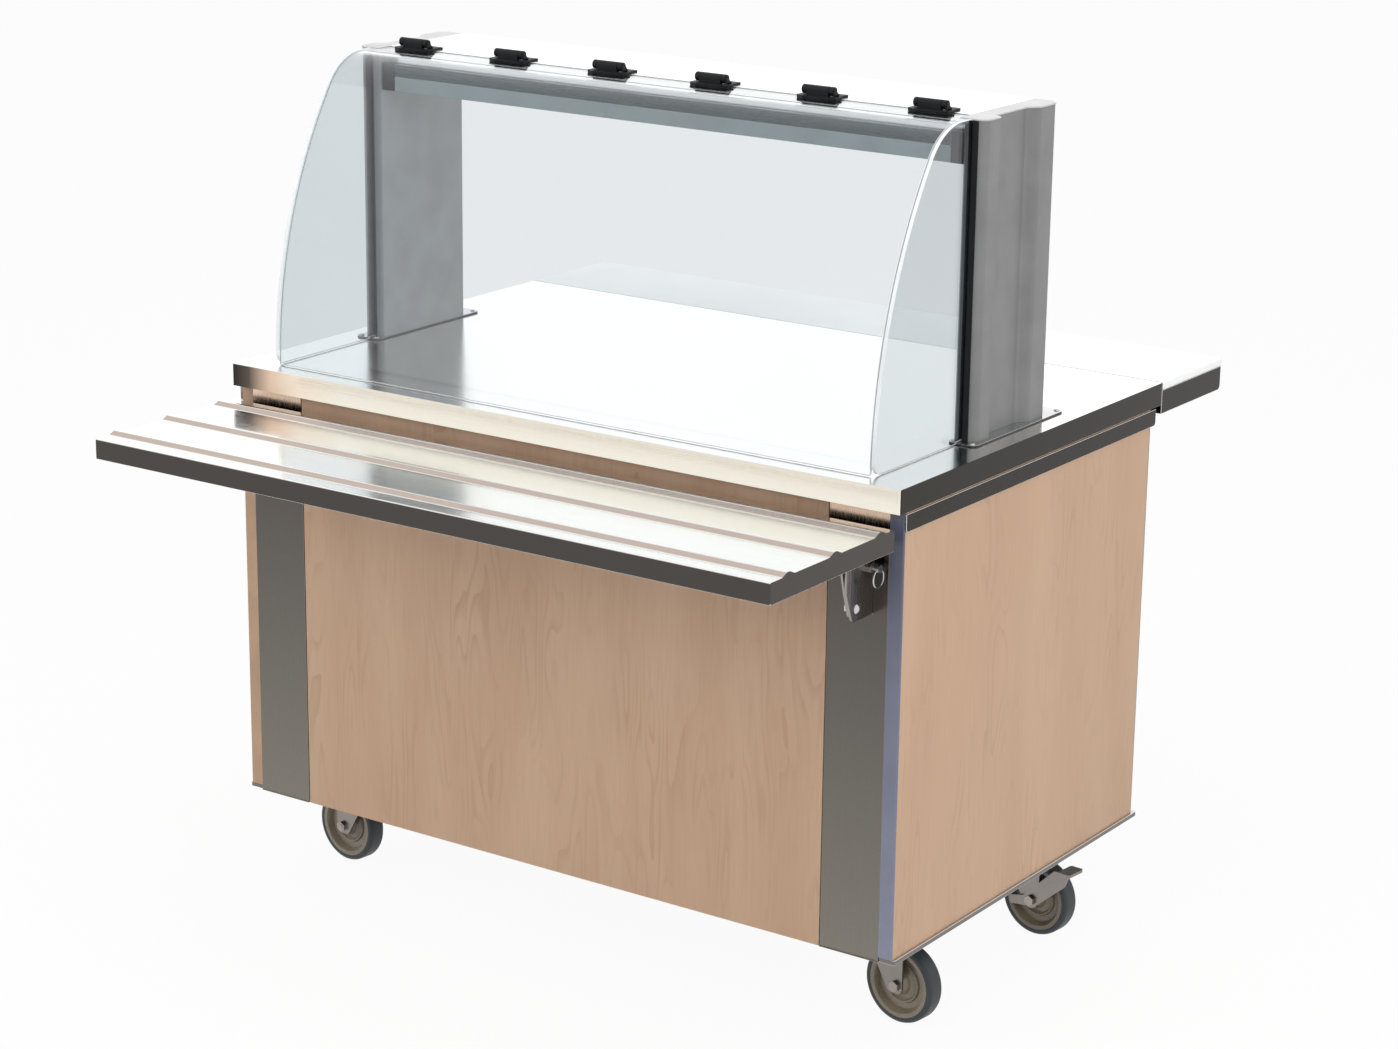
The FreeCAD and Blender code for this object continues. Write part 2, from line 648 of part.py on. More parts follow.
def tray_bracket():
    """Fixed ear that comes out of the slot in the strip, with a bush for the lock pin."""
    x0 = EAR_X - EAR_THICKNESS / 2
    x1 = EAR_X + EAR_THICKNESS / 2
    back = BODY_FRONT + STRIP_SHEET
    knee = (PIVOT_Z + LOCK_Z) / 2
    soft = BRACKET_ROUND
    outline = [(back, ear_top(), 0), (FRONT - EAR_REACH, ear_top(), soft),
               (FRONT - EAR_REACH, knee, soft),
               (PIVOT_Y - PIVOT_HEAD_RADIUS - ARM_MARGIN, ear_bottom(), soft),
               (back, ear_bottom(), 0)]
    ear = plate_yz(outline, x0, x1)
    flange = block(x1 - EAR_FLANGE, x1, back, back + EAR_THICKNESS, ear_bottom(), ear_top())
    bush = rod(LOCK_BUSH_RADIUS, V(x1, LOCK_Y, LOCK_Z), V(x1 + LOCK_BUSH_LENGTH, LOCK_Y, LOCK_Z))
    bracket = fuse([ear, flange, bush])
    bracket = bracket.cut(rod(LOCK_PIN_RADIUS + RUNNING_FIT, V(0, LOCK_Y, LOCK_Z), V(HALF, LOCK_Y, LOCK_Z)))
    bracket = bracket.cut(rod(PIVOT_RADIUS + RUNNING_FIT, V(0, PIVOT_Y, PIVOT_Z), V(HALF, PIVOT_Y, PIVOT_Z)))
    return bracket


def pivot_bolt():
    """Dome-headed bolt through ear and arm, with its nut."""
    head_face = EAR_X + EAR_THICKNESS / 2
    nut_face = ARM_X - ARM_THICKNESS / 2 - MOVING_GAP
    axis = lambda x: V(x, PIVOT_Y, PIVOT_Z)
    sphere_radius = (PIVOT_HEAD_RADIUS ** 2 + PIVOT_DOME ** 2) / (2 * PIVOT_DOME)
    sphere = Part.makeSphere(sphere_radius, axis(head_face + PIVOT_DOME - sphere_radius))
    dome = sphere.common(rod(PIVOT_HEAD_RADIUS, axis(head_face), axis(head_face + PIVOT_DOME)))
    shank = rod(PIVOT_RADIUS, axis(nut_face - PIVOT_NUT - PIVOT_THREAD_END), axis(head_face))
    nut = hexagon(PIVOT_NUT_ACROSS, axis(nut_face - PIVOT_NUT), axis(nut_face))
    return fuse([dome, shank, nut])


def lock_pin():
    """Pull pin with a ring, drawn clear of the arm; pushed in, it locks the arm level."""
    nose = EAR_X - EAR_THICKNESS / 2
    bush_end = EAR_X + EAR_THICKNESS / 2 + LOCK_BUSH_LENGTH
    head_start = bush_end + LOCK_TRAVEL + MOVING_GAP
    head_end = head_start + LOCK_HEAD_LENGTH
    axis = lambda x: V(x, LOCK_Y, LOCK_Z)
    shank = rod(LOCK_PIN_RADIUS, axis(nose), axis(head_end))
    head = rod(LOCK_HEAD_RADIUS, axis(head_start), axis(head_end))
    ring = Part.makeTorus(RING_RADIUS, RING_WIRE_RADIUS,
                          axis((head_start + head_end) / 2) - V(0, 0, RING_RADIUS), V(1, 0, 0))
    return fuse([shank, head, ring])


# ---------------------------------------------------------------- work board


def work_board():
    outline = rectangle(-HALF, HALF, REAR + BOARD_GAP, REAR + BOARD_GAP + BOARD_DEPTH, CORNER_ROUND)
    return plate_xy(outline, SURFACE - BOARD_THICKNESS, SURFACE)


def board_bracket():
    z1 = SURFACE - BOARD_THICKNESS
    z0 = z1 - BOARD_BRACKET_HEIGHT
    y1 = REAR + BOARD_GAP + BOARD_DEPTH - BOARD_BRACKET_SETBACK
    outline = [(REAR, z0, 0), (y1, z0, BOARD_BRACKET_ROUND), (y1, z1, 0), (REAR, z1, 0)]
    side = plate_yz(outline, HALF - BOARD_BRACKET_SHEET, HALF)
    x0 = HALF - BOARD_BRACKET_FLANGE
    shelf = block(x0, HALF, REAR, y1, z1 - BOARD_BRACKET_SHEET, z1)
    foot = block(x0, HALF, REAR, REAR + BOARD_BRACKET_SHEET, z0, z1)
    return fuse([side, shelf, foot])


# ---------------------------------------------------------------- guard columns


def column_outline(grow=0.0):
    """Plan of the right-hand column: two rounded bulges joined by a flat with a flute."""
    inside = COLUMN_INSIDE - grow
    bulge = COLUMN_INSIDE + COLUMN_BULGE + grow
    flat = COLUMN_INSIDE + COLUMN_FLAT + grow
    front = COLUMN_FRONT - grow
    rear = COLUMN_REAR + grow
    step = COLUMN_FRONT + FRONT_BULGE_LENGTH + grow
    flute = COLUMN_REAR - REAR_BULGE_LENGTH - grow
    slant = COLUMN_SLANT
    soft = COLUMN_EDGE_ROUND
    return [(inside, front + slant, soft), (inside + slant, front, soft), (bulge, front, COLUMN_FRONT_ROUND),
            (bulge, step, soft), (flat, step + slant, soft),
            (flat, flute - FLUTE_LENGTH, FLUTE_ROUND), (bulge, flute, FLUTE_ROUND),
            (bulge, rear - 2 * slant, COLUMN_REAR_ROUND), (bulge - 2 * slant, rear, COLUMN_REAR_ROUND),
            (inside, rear, soft)]


def gasket_span():
    inside = END_GLASS_INSIDE - GASKET_INNER_LIP
    return inside, inside + GASKET_WIDTH


def column():
    body = plate_xy(column_outline(), COLUMN_BASE, COLUMN_TOP)
    hollow = plate_xy(column_outline(-COLUMN_WALL), COLUMN_BASE, COLUMN_TOP)
    front_limit = COLUMN_FRONT + COLUMN_FRONT_WEB
    keep = block(0, HALF, front_limit, COLUMN_REAR, COLUMN_BASE, COLUMN_TOP)
    x0, x1 = gasket_span()
    slot = block(x0, x1, COLUMN_FRONT - COLUMN_WALL, COLUMN_FRONT + GASKET_DEPTH, COLUMN_BASE, COLUMN_TOP)
    return body.cut(hollow.common(keep)).cut(slot)


def column_gasket():
    """Black seal in the column's front slot, slit for the edge of the end glass."""
    x0, x1 = gasket_span()
    seal = block(x0, x1, COLUMN_FRONT, COLUMN_FRONT + GASKET_DEPTH, COLUMN_BASE, COLUMN_TOP)
    slit = block(END_GLASS_INSIDE - GASKET_CLEARANCE, END_GLASS_INSIDE + GLASS_THICKNESS + GASKET_CLEARANCE,
                 COLUMN_FRONT, COLUMN_FRONT + GLASS_ENTRY + GASKET_CLEARANCE, COLUMN_BASE, COLUMN_TOP)
    return seal.cut(slit)


def column_cap():
    """Cap that overhangs the column all round but on the canopy's side."""
    cap = plate_xy(column_outline(CAP_OVERHANG), COLUMN_TOP, COLUMN_TOP + CAP_THICKNESS)
    margin = 2 * CAP_OVERHANG
    return cap.cut(block(0, COLUMN_INSIDE, COLUMN_FRONT - margin, COLUMN_REAR + margin,
                         COLUMN_TOP, COLUMN_TOP + CAP_THICKNESS))


def foot_plate_span():
    x0 = COLUMN_INSIDE - FOOT_PLATE_MARGIN
    x1 = COLUMN_INSIDE + COLUMN_BULGE + FOOT_PLATE_OUTER_MARGIN
    return x0, x1, COLUMN_FRONT - FOOT_PLATE_FRONT, COLUMN_REAR + FOOT_PLATE_REAR


def foot_screw_places():
    x0, x1, y0, y1 = foot_plate_span()
    inset = FOOT_SCREW_INSET
    front = COLUMN_FRONT - FOOT_SCREW_HEAD_RADIUS - FOOT_SCREW_GAP
    return [(x0 + inset, front), (x1 - inset, front), (x0 + inset, y1 - inset), (x1 - inset, y1 - inset)]


def foot_plate():
    x0, x1, y0, y1 = foot_plate_span()
    plate = plate_xy(rectangle(x0, x1, y0, y1, FOOT_PLATE_ROUND), SURFACE, COLUMN_BASE)
    for x, y in foot_screw_places():
        plate = plate.cut(rod(FOOT_SCREW_RADIUS + HOLE_CLEARANCE, V(x, y, SURFACE), V(x, y, COLUMN_BASE)))
    return plate


def foot_screws():
    screws = []
    for x, y in foot_screw_places():
        for side in (-1, 1):
            base = V(side * x, y, COLUMN_BASE)
            head = Part.makeCone(FOOT_SCREW_HEAD_RADIUS, FOOT_SCREW_CROWN_RADIUS, FOOT_SCREW_HEAD, base)
            screws.append(fuse([head, rod(FOOT_SCREW_RADIUS, base - V(0, 0, FOOT_SCREW_LENGTH), base)]))
    return Part.makeCompound(screws)


# ---------------------------------------------------------------- glass


def glass_curve(inset=0.0):
    """Radii, centres and the change-over angle of the guard's curve, seen from the end.

    The large arc stands upright on the counter and meets the small bend without a corner.
    """
    foot = FRONT + GLASS_FRONT_SETBACK
    run = GLASS_REAR - GLASS_FLAT - foot
    rise = GUARD_HEIGHT - GLASS_BEND_RADIUS
    arc = (run ** 2 + rise ** 2 - GLASS_BEND_RADIUS ** 2) / (2 * (run - GLASS_BEND_RADIUS))
    step = arc - GLASS_BEND_RADIUS
    turn = math.asin(rise / step)
    big_centre = V(0, foot + arc, SURFACE)
    small_centre = big_centre + V(0, -step * math.cos(turn), step * math.sin(turn))
    return arc - inset, GLASS_BEND_RADIUS - inset, turn, big_centre, small_centre


def on_circle(centre, radius, angle):
    """A point in the end view; angle 0 looks to the customer and 90 degrees up."""
    return centre + V(0, -radius * math.cos(angle), radius * math.sin(angle))


def curve_edges(inset, rear, x):
    """Edges of the guard's curve from its foot up to the flat at the top, at one x."""
    big, small, turn, big_centre, small_centre = glass_curve(inset)
    shift = V(x, 0, 0)
    foot = math.asin(GLASS_FOOT_GAP / big)
    start = on_circle(big_centre, big, foot) + shift
    middle = on_circle(big_centre, big, (foot + turn) / 2) + shift
    joint = on_circle(big_centre, big, turn) + shift
    bend = on_circle(small_centre, small, (turn + math.pi / 2) / 2) + shift
    top = on_circle(small_centre, small, math.pi / 2) + shift
    end = V(x, rear, top.z)
    edges = [Part.Arc(start, middle, joint).toShape(), Part.Arc(joint, bend, top).toShape(),
             Part.makeLine(top, end)]
    return edges, start, end


def front_glass():
    x0 = -FRONT_GLASS_HALF
    outer, outer_foot, outer_end = curve_edges(0.0, GLASS_REAR, x0)
    inner, inner_foot, inner_end = curve_edges(GLASS_THICKNESS, GLASS_REAR, x0)
    edges = outer + inner + [Part.makeLine(outer_foot, inner_foot), Part.makeLine(outer_end, inner_end)]
    wire = Part.Wire(Part.__sortEdges__(edges))
    pane = Part.Face(wire).extrude(V(2 * FRONT_GLASS_HALF, 0, 0))
    notch = block(COLUMN_INSIDE - GLASS_END_GAP, HALF, COLUMN_FRONT - CAP_OVERHANG - GLASS_END_GAP,
                  GLASS_REAR + GLASS_END_GAP, GUARD_TOP - 2 * GLASS_THICKNESS, GUARD_TOP + GLASS_END_GAP)
    return pane.cut(notch).cut(mirrored(notch))


def end_glass():
    x = END_GLASS_INSIDE
    rear = COLUMN_FRONT + GLASS_ENTRY
    edges, foot, end = curve_edges(0.0, rear, x)
    corner = V(x, rear, foot.z)
    edges += [Part.makeLine(end, corner), Part.makeLine(corner, foot)]
    pane = Part.Face(Part.Wire(edges)).extrude(V(GLASS_THICKNESS, 0, 0))
    upright = [e for e in pane.Edges if lower_front_edge(e, foot)]
    pane = pane.makeFillet(END_GLASS_ROUND, upright)
    over_plate = block(0, HALF, COLUMN_FRONT - FOOT_PLATE_FRONT - GLASS_FOOT_GAP, rear + GLASS_FOOT_GAP,
                       SURFACE, COLUMN_BASE + GLASS_FOOT_GAP)
    under_cap = block(0, HALF, COLUMN_FRONT - CAP_OVERHANG - MOVING_GAP, rear + GLASS_FOOT_GAP,
                      COLUMN_TOP - MOVING_GAP, CANOPY_TOP)
    return pane.cut(over_plate).cut(under_cap)


def lower_front_edge(edge, foot):
    a, b = edge.Vertexes[0].Point, edge.Vertexes[-1].Point
    flat = abs(a.z - foot.z) < 1e-3 and abs(b.z - foot.z) < 1e-3
    return flat and abs(a.y - foot.y) < 1e-3 and abs(b.y - foot.y) < 1e-3


# ---------------------------------------------------------------- canopy


def canopy_shelf():
    bottom = CANOPY_TOP - CANOPY_FLANGE
    outer = block(-CANOPY_HALF, CANOPY_HALF, CANOPY_FRONT, CANOPY_REAR, bottom, CANOPY_TOP)
    inner = block(-CANOPY_HALF + CANOPY_SHEET, CANOPY_HALF - CANOPY_SHEET, CANOPY_FRONT + CANOPY_SHEET,
                  CANOPY_REAR - CANOPY_SHEET, bottom, CANOPY_TOP - CANOPY_SHEET)
    return outer.cut(inner)


def canopy_beam():
    return tube_x(-BEAM_HALF, BEAM_HALF, BEAM_FRONT, BEAM_FRONT + BEAM_DEPTH,
                  BEAM_BOTTOM, BEAM_TOP, BEAM_WALL)


def beam_shoe():
    return block(BEAM_HALF, COLUMN_INSIDE, BEAM_FRONT - BEAM_SHOE_PROUD,
                 BEAM_FRONT + BEAM_DEPTH + BEAM_SHOE_PROUD, BEAM_BOTTOM - HOUSING_HEIGHT, BEAM_TOP)


def light_housing():
    z0 = BEAM_BOTTOM - HOUSING_HEIGHT
    y1 = BEAM_FRONT + BEAM_DEPTH
    outer = block(-BEAM_HALF, BEAM_HALF, BEAM_FRONT, y1, z0, BEAM_BOTTOM)
    inner = block(-BEAM_HALF, BEAM_HALF, BEAM_FRONT + HOUSING_WALL, y1 - HOUSING_WALL,
                  z0, BEAM_BOTTOM - HOUSING_WALL)
    return outer.cut(inner)


def light_lens():
    z0 = BEAM_BOTTOM - HOUSING_HEIGHT
    return block(-BEAM_HALF, BEAM_HALF, BEAM_FRONT + HOUSING_WALL, BEAM_FRONT + BEAM_DEPTH - HOUSING_WALL,
                 z0 + HOUSING_WALL, z0 + HOUSING_WALL + LENS_THICKNESS)


# ---------------------------------------------------------------- hinge clamps


def clamp_centres():
    return [CLAMP_PITCH * (i - (CLAMP_COUNT - 1) / 2) for i in range(CLAMP_COUNT)]


def at_each_clamp(shape):
    copies = []
    for x in clamp_centres():
        copy = shape.copy()
        copy.translate(V(x, 0, 0))
        copies.append(copy)
    return Part.makeCompound(copies)


def hinge_axis(x):
    return V(x, HINGE_Y, HINGE_Z)


def upper_jaws():
    """Upper jaw with its rounded tab, the web behind the glass edge and the turning knuckle."""
    half = CLAMP_WIDTH / 2
    nose = JAW_NOSE_WIDTH / 2
    front = GLASS_REAR - CLAMP_GRIP
    back = GLASS_REAR + MOVING_GAP + JAW_WEB
    top = GUARD_TOP + UPPER_JAW
    soft = JAW_ROUND
    outline = [(-half, front + JAW_TAB / 2, soft), (-nose, front - JAW_TAB, JAW_TAB),
               (nose, front - JAW_TAB, JAW_TAB), (half, front + JAW_TAB / 2, soft),
               (half, back, soft), (-half, back, soft)]
    plate = plate_xy(outline, GUARD_TOP, top)
    web = block(-half + JAW_WEB_INSET, half - JAW_WEB_INSET, back - JAW_WEB, back,
                GUARD_TOP - GLASS_THICKNESS, GUARD_TOP)
    knuckle = KNUCKLE_WIDTH / 2 - MOVING_GAP
    barrel = rod(BARREL_RADIUS, hinge_axis(-knuckle), hinge_axis(knuckle))
    neck = block(-knuckle, knuckle, HINGE_Y - BARREL_RADIUS, HINGE_Y, top, HINGE_Z)
    bore = rod(HINGE_PIN_RADIUS + RUNNING_FIT, hinge_axis(-half), hinge_axis(half))
    return at_each_clamp(fuse([plate, web, barrel, neck]).cut(bore))


def lower_jaws():
    half = CLAMP_WIDTH / 2
    front = GLASS_REAR - CLAMP_GRIP
    back = GLASS_REAR + MOVING_GAP + JAW_WEB
    top = GUARD_TOP - GLASS_THICKNESS
    return at_each_clamp(plate_xy(rectangle(-half, half, front, back, JAW_ROUND), top - LOWER_JAW, top))


def hinge_leaves():
    """Fixed leaf on the canopy with a knuckle on each side of the turning one."""
    z0 = CANOPY_TOP
    z1 = z0 + LEAF_THICKNESS
    shoulder = CANOPY_FRONT
    underside = HINGE_Z - BARREL_RADIUS + MOVING_GAP
    outline = [(HINGE_Y, HINGE_Z + BARREL_RADIUS, 0), (HINGE_Y, underside, 0), (shoulder, underside, 0),
               (shoulder, z0, 0), (shoulder + LEAF_DEPTH, z0, 0), (shoulder + LEAF_DEPTH, z1, 0),
               (shoulder + LEAF_THICKNESS, z1, 0)]
    bore = rod(HINGE_PIN_RADIUS + RUNNING_FIT, hinge_axis(-BARREL_WIDTH), hinge_axis(BARREL_WIDTH))
    gap = KNUCKLE_WIDTH / 2
    knuckles = []
    for x0, x1 in ((-BARREL_WIDTH / 2, -gap), (gap, BARREL_WIDTH / 2)):
        knuckles += [rod(BARREL_RADIUS, hinge_axis(x0), hinge_axis(x1)), plate_yz(outline, x0, x1)]
    tie = block(-gap, gap, shoulder + LEAF_THICKNESS, shoulder + LEAF_DEPTH, z0, z1)
    return at_each_clamp(fuse(knuckles + [tie]).cut(bore))


def hinge_pins():
    half = BARREL_WIDTH / 2
    pin = rod(HINGE_PIN_RADIUS, hinge_axis(-half), hinge_axis(half))
    heads = [rod(HINGE_PIN_HEAD_RADIUS, hinge_axis(half), hinge_axis(half + HINGE_PIN_HEAD)),
             rod(HINGE_PIN_HEAD_RADIUS, hinge_axis(-half - HINGE_PIN_HEAD), hinge_axis(-half))]
    return at_each_clamp(fuse([pin] + heads))


# ---------------------------------------------------------------- casters
# Each piece is made about the kingpin with the trail along +X, then turned and placed.


def placed(shape, caster):
    _, x, y, heading, _ = caster
    copy = shape.copy()
    copy.rotate(V(0, 0, 0), V(0, 0, 1), heading)
    copy.translate(V(x, y, 0))
    return copy


def unturned(shape, caster):
    copy = shape.copy()
    copy.translate(V(caster[1], caster[2], 0))
    return copy


def mount_hole_offsets():
    dx = MOUNT_PLATE_LENGTH / 2 - MOUNT_HOLE_INSET
    dy = MOUNT_PLATE_WIDTH / 2 - MOUNT_HOLE_INSET
    return [(sx * dx, sy * dy) for sx in (-1, 1) for sy in (-1, 1)]


def mount_bolt_places():
    return [(caster[1] + dx, caster[2] + dy) for caster in CASTERS for dx, dy in mount_hole_offsets()]


def caster_mount():
    """Top plate, upper bearing race and kingpin."""
    z1 = CASTER_HEIGHT
    z0 = z1 - MOUNT_PLATE_THICKNESS
    half_x = MOUNT_PLATE_LENGTH / 2
    half_y = MOUNT_PLATE_WIDTH / 2
    plate = plate_xy(rectangle(-half_x, half_x, -half_y, half_y, MOUNT_PLATE_ROUND), z0, z1)
    for dx, dy in mount_hole_offsets():
        plate = plate.cut(rod(MOUNT_BOLT_RADIUS + HOLE_CLEARANCE, V(dx, dy, z0), V(dx, dy, z1)))
    race = Part.makeCone(RACE_RADIUS, RACE_RADIUS - RACE_TAPER, RACE_HEIGHT, V(0, 0, RACE_BOTTOM))
    head_top = CROWN_BOTTOM - MOVING_GAP
    pin = rod(KINGPIN_RADIUS, V(0, 0, head_top), V(0, 0, RACE_BOTTOM))
    head = rod(KINGPIN_HEAD_RADIUS, V(0, 0, head_top - KINGPIN_HEAD), V(0, 0, head_top))
    return fuse([plate, race, pin, head])


def caster_bolts():
    bolts = []
    for x, y in mount_bolt_places():
        under = CASTER_HEIGHT - MOUNT_PLATE_THICKNESS
        shank = rod(MOUNT_BOLT_RADIUS, V(x, y, under), V(x, y, BASE_TOP - BASE_SHEET))
        head = hexagon(MOUNT_BOLT_HEAD_ACROSS, V(x, y, under - MOUNT_BOLT_HEAD), V(x, y, under))
        bolts.append(fuse([shank, head]))
    return Part.makeCompound(bolts)


def fork_leg(y0, y1):
    foot = LEG_FOOT_RADIUS
    outline = [(-LEG_TOP_BACK, CROWN_TOP, LEG_TOP_ROUND),
               (-LEG_TOP_BACK, CROWN_BOTTOM - LEG_HEEL_DROP, LEG_HEEL_ROUND),
               (TRAIL - foot, AXLE_Z - foot, LEG_FOOT_ROUND), (TRAIL + foot, AXLE_Z - foot, LEG_FOOT_ROUND),
               (TRAIL + foot, CROWN_TOP, LEG_HEEL_ROUND)]
    return plate_xz(outline, y0, y1)


def fork():
    crown = Part.makeCone(RACE_RADIUS - CROWN_TAPER, RACE_RADIUS, CROWN_HEIGHT - FORK_SHEET,
                          V(0, 0, CROWN_BOTTOM + FORK_SHEET))
    bridge = plate_xy(rectangle(-LEG_TOP_BACK, TRAIL + LEG_FOOT_RADIUS, -LEG_OUTSIDE, LEG_OUTSIDE, LEG_TOP_ROUND),
                      CROWN_BOTTOM, CROWN_BOTTOM + FORK_SHEET)
    legs = [fork_leg(LEG_INSIDE, LEG_OUTSIDE), fork_leg(-LEG_OUTSIDE, -LEG_INSIDE)]
    body = fuse([crown, bridge] + legs)
    pin_hole = rod(KINGPIN_RADIUS + RUNNING_FIT, V(0, 0, CROWN_BOTTOM - OVERRUN), V(0, 0, CROWN_TOP + OVERRUN))
    return body.cut(pin_hole).cut(axle_hole(-LEG_OUTSIDE, LEG_OUTSIDE))


def axle_hole(y0, y1):
    return rod(AXLE_RADIUS + RUNNING_FIT, V(TRAIL, y0 - OVERRUN, AXLE_Z), V(TRAIL, y1 + OVERRUN, AXLE_Z))


def axle_bolt(braked):
    """Axle bolt and nut; on a braked caster it is longer by the lever."""
    near = -LEG_OUTSIDE - (MOVING_GAP * 2 + LEVER_SHEET if braked else 0.0)
    far = LEG_OUTSIDE
    on_axle = lambda y: V(TRAIL, y, AXLE_Z)
    shank = rod(AXLE_RADIUS, on_axle(near), on_axle(far + AXLE_HEAD + AXLE_THREAD_END))
    head = hexagon(AXLE_HEAD_ACROSS, on_axle(near - AXLE_HEAD), on_axle(near))
    nut = hexagon(AXLE_HEAD_ACROSS, on_axle(far), on_axle(far + AXLE_HEAD))
    return fuse([shank, head, nut])


def turned(profile):
    """A ring from its half section in (radius, y), turned about the axle."""
    points = [V(TRAIL + r, y, AXLE_Z) for r, y in profile]
    face = Part.Face(Part.makePolygon(points + points[:1]))
    return face.revolve(V(TRAIL, 0, AXLE_Z), V(0, 1, 0), 360)


def wheel_hub():
    """Moulded wheel core: hub barrel, thin web with a raised ring, and rim."""
    bore = AXLE_RADIUS + RUNNING_FIT
    rim = WHEEL_RADIUS - TYRE_THICKNESS
    rim_inside = rim - RIM_THICKNESS
    barrel = HUB_WIDTH / 2
    half_web = WEB_THICKNESS / 2
    half_rim = TREAD_WIDTH / 2 - RIM_SIDE_INSET
    ring = (HUB_RADIUS + rim_inside) / 2
    ring_foot = WEB_RING_WIDTH / 2
    ring_top = WEB_RING_WIDTH / 6
    ring_face = half_web + WEB_RING_HEIGHT
    side = [(bore, barrel), (HUB_RADIUS - HUB_CHAMFER, barrel), (HUB_RADIUS, barrel - HUB_CHAMFER),
            (HUB_RADIUS + WEB_FLARE, half_web + WEB_FLARE), (ring - ring_foot, half_web),
            (ring - ring_top, ring_face), (ring + ring_top, ring_face), (ring + ring_foot, half_web),
            (rim_inside - WEB_FLARE, half_web), (rim_inside, half_rim - RIM_CHAMFER),
            (rim_inside + RIM_CHAMFER, half_rim), (rim, half_rim)]
    other = [(r, -y) for r, y in reversed(side)]
    return turned(side + other)


def tyre():
    rim = WHEEL_RADIUS - TYRE_THICKNESS
    half = TREAD_WIDTH / 2
    crown = TREAD_CROWN
    profile = [(rim, half - TYRE_SIDE_INSET), (WHEEL_RADIUS - 2 * crown, half),
               (WHEEL_RADIUS - crown, half - crown / 3), (WHEEL_RADIUS - crown / 3, half - crown),
               (WHEEL_RADIUS, half - 2 * crown)]
    return turned(profile + [(r, -y) for r, y in reversed(profile)])


def brake_lever():
    """Stamped lever on the axle bolt, with a foot pedal over the wheel."""
    near = -LEG_OUTSIDE - MOVING_GAP - LEVER_SHEET
    far = near + LEVER_SHEET
    hub = rod(LEVER_HUB_RADIUS, V(TRAIL, near, AXLE_Z), V(TRAIL, far, AXLE_Z))
    tail_top = AXLE_Z - TAIL_DROP
    tail = plate_xz([(TRAIL, AXLE_Z + LEVER_NECK, 0), (TRAIL - TAIL_LENGTH, tail_top, TAIL_ROUND),
                     (TRAIL - TAIL_LENGTH, tail_top - TAIL_WIDTH, TAIL_ROUND),
                     (TRAIL, AXLE_Z - LEVER_ROOT, 0)], near, far)
    pedal_x = TRAIL + PEDAL_X
    pedal_z = AXLE_Z + PEDAL_RISE
    arm = plate_xz([(TRAIL - LEVER_ROOT, AXLE_Z + LEVER_NECK, 0), (pedal_x - CHEEK_BACK, pedal_z, PEDAL_ROUND),
                    (pedal_x + PEDAL_LENGTH, pedal_z, PEDAL_ROUND),
                    (pedal_x + CHEEK_FRONT, pedal_z - CHEEK_DROP, CHEEK_ROUND),
                    (TRAIL + LEVER_ROOT, AXLE_Z - LEVER_NECK, 0)], near, far)
    pedal = plate_xy(rectangle(pedal_x, pedal_x + PEDAL_LENGTH, near, near + PEDAL_WIDTH, PEDAL_ROUND),
                     pedal_z - PEDAL_THICKNESS, pedal_z)
    return fuse([hub, tail, arm, pedal]).cut(axle_hole(near, far))


# ---------------------------------------------------------------- all nodes


def fixed_nodes():
    return {
        "counter_top": counter_top(),
        "top_frame": top_frame(),
        "front_panel": front_panel(),
        "front_strip_left": mirrored(front_strip()),
        "front_strip_right": front_strip(),
        "end_panel_left": mirrored(end_panel()),
        "end_panel_right": end_panel(),
        "edge_trims_left": mirrored(edge_trims()),
        "edge_trims_right": edge_trims(),
        "end_top_rails": both_sides(end_top_rail()),
        "base_pan": base_pan(),
        "caster_strips": caster_strips(),
        "middle_shelf": middle_shelf(),
        "shelf_clips": shelf_clips(),
        "tray_brackets": both_sides(tray_bracket()),
        "tray_pivot_bolts": both_sides(pivot_bolt()),
        "work_board": work_board(),
        "board_brackets": both_sides(board_bracket()),
        "column_left": mirrored(column()),
        "column_right": column(),
        "column_gaskets": both_sides(column_gasket()),
        "column_caps": both_sides(column_cap()),
        "foot_plates": both_sides(foot_plate()),
        "foot_screws": foot_screws(),
        "canopy_shelf": canopy_shelf(),
        "canopy_beam": canopy_beam(),
        "beam_shoes": both_sides(beam_shoe()),
        "light_housing": light_housing(),
        "light_lens": light_lens(),
        "end_glass_left": mirrored(end_glass()),
        "end_glass_right": end_glass(),
        "hinge_leaves": hinge_leaves(),
        "hinge_pins": hinge_pins(),
        "caster_mounts": Part.makeCompound([unturned(caster_mount(), c) for c in CASTERS]),
        "caster_bolts": caster_bolts(),
    }


def moving_nodes():
    nodes = {
        "tray_slide": tray_slide(),
        "tray_arms": both_sides(tray_arm()),
        "lock_pin_left": mirrored(lock_pin()),
        "lock_pin_right": lock_pin(),
        "front_glass": front_glass(),
        "clamp_upper_jaws": upper_jaws(),
        "clamp_lower_jaws": lower_jaws(),
    }
    for caster in CASTERS:
        name, braked = caster[0], caster[4]
        nodes["fork_" + name] = placed(fork(), caster)
        nodes["axle_bolt_" + name] = placed(axle_bolt(braked), caster)
        nodes["wheel_hub_" + name] = placed(wheel_hub(), caster)
        nodes["tyre_" + name] = placed(tyre(), caster)
        if braked:
            nodes["brake_lever_" + name] = placed(brake_lever(), caster)
    return nodes


def main():
    os.makedirs("parts", exist_ok=True)
    nodes = {**fixed_nodes(), **moving_nodes()}
    for name, shape in nodes.items():
        shape.exportStep("parts/" + name + ".step")
    print(len(nodes), "nodes")


main()
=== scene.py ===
import json
import math

import bmesh
import bpy
from mathutils import Matrix, Vector


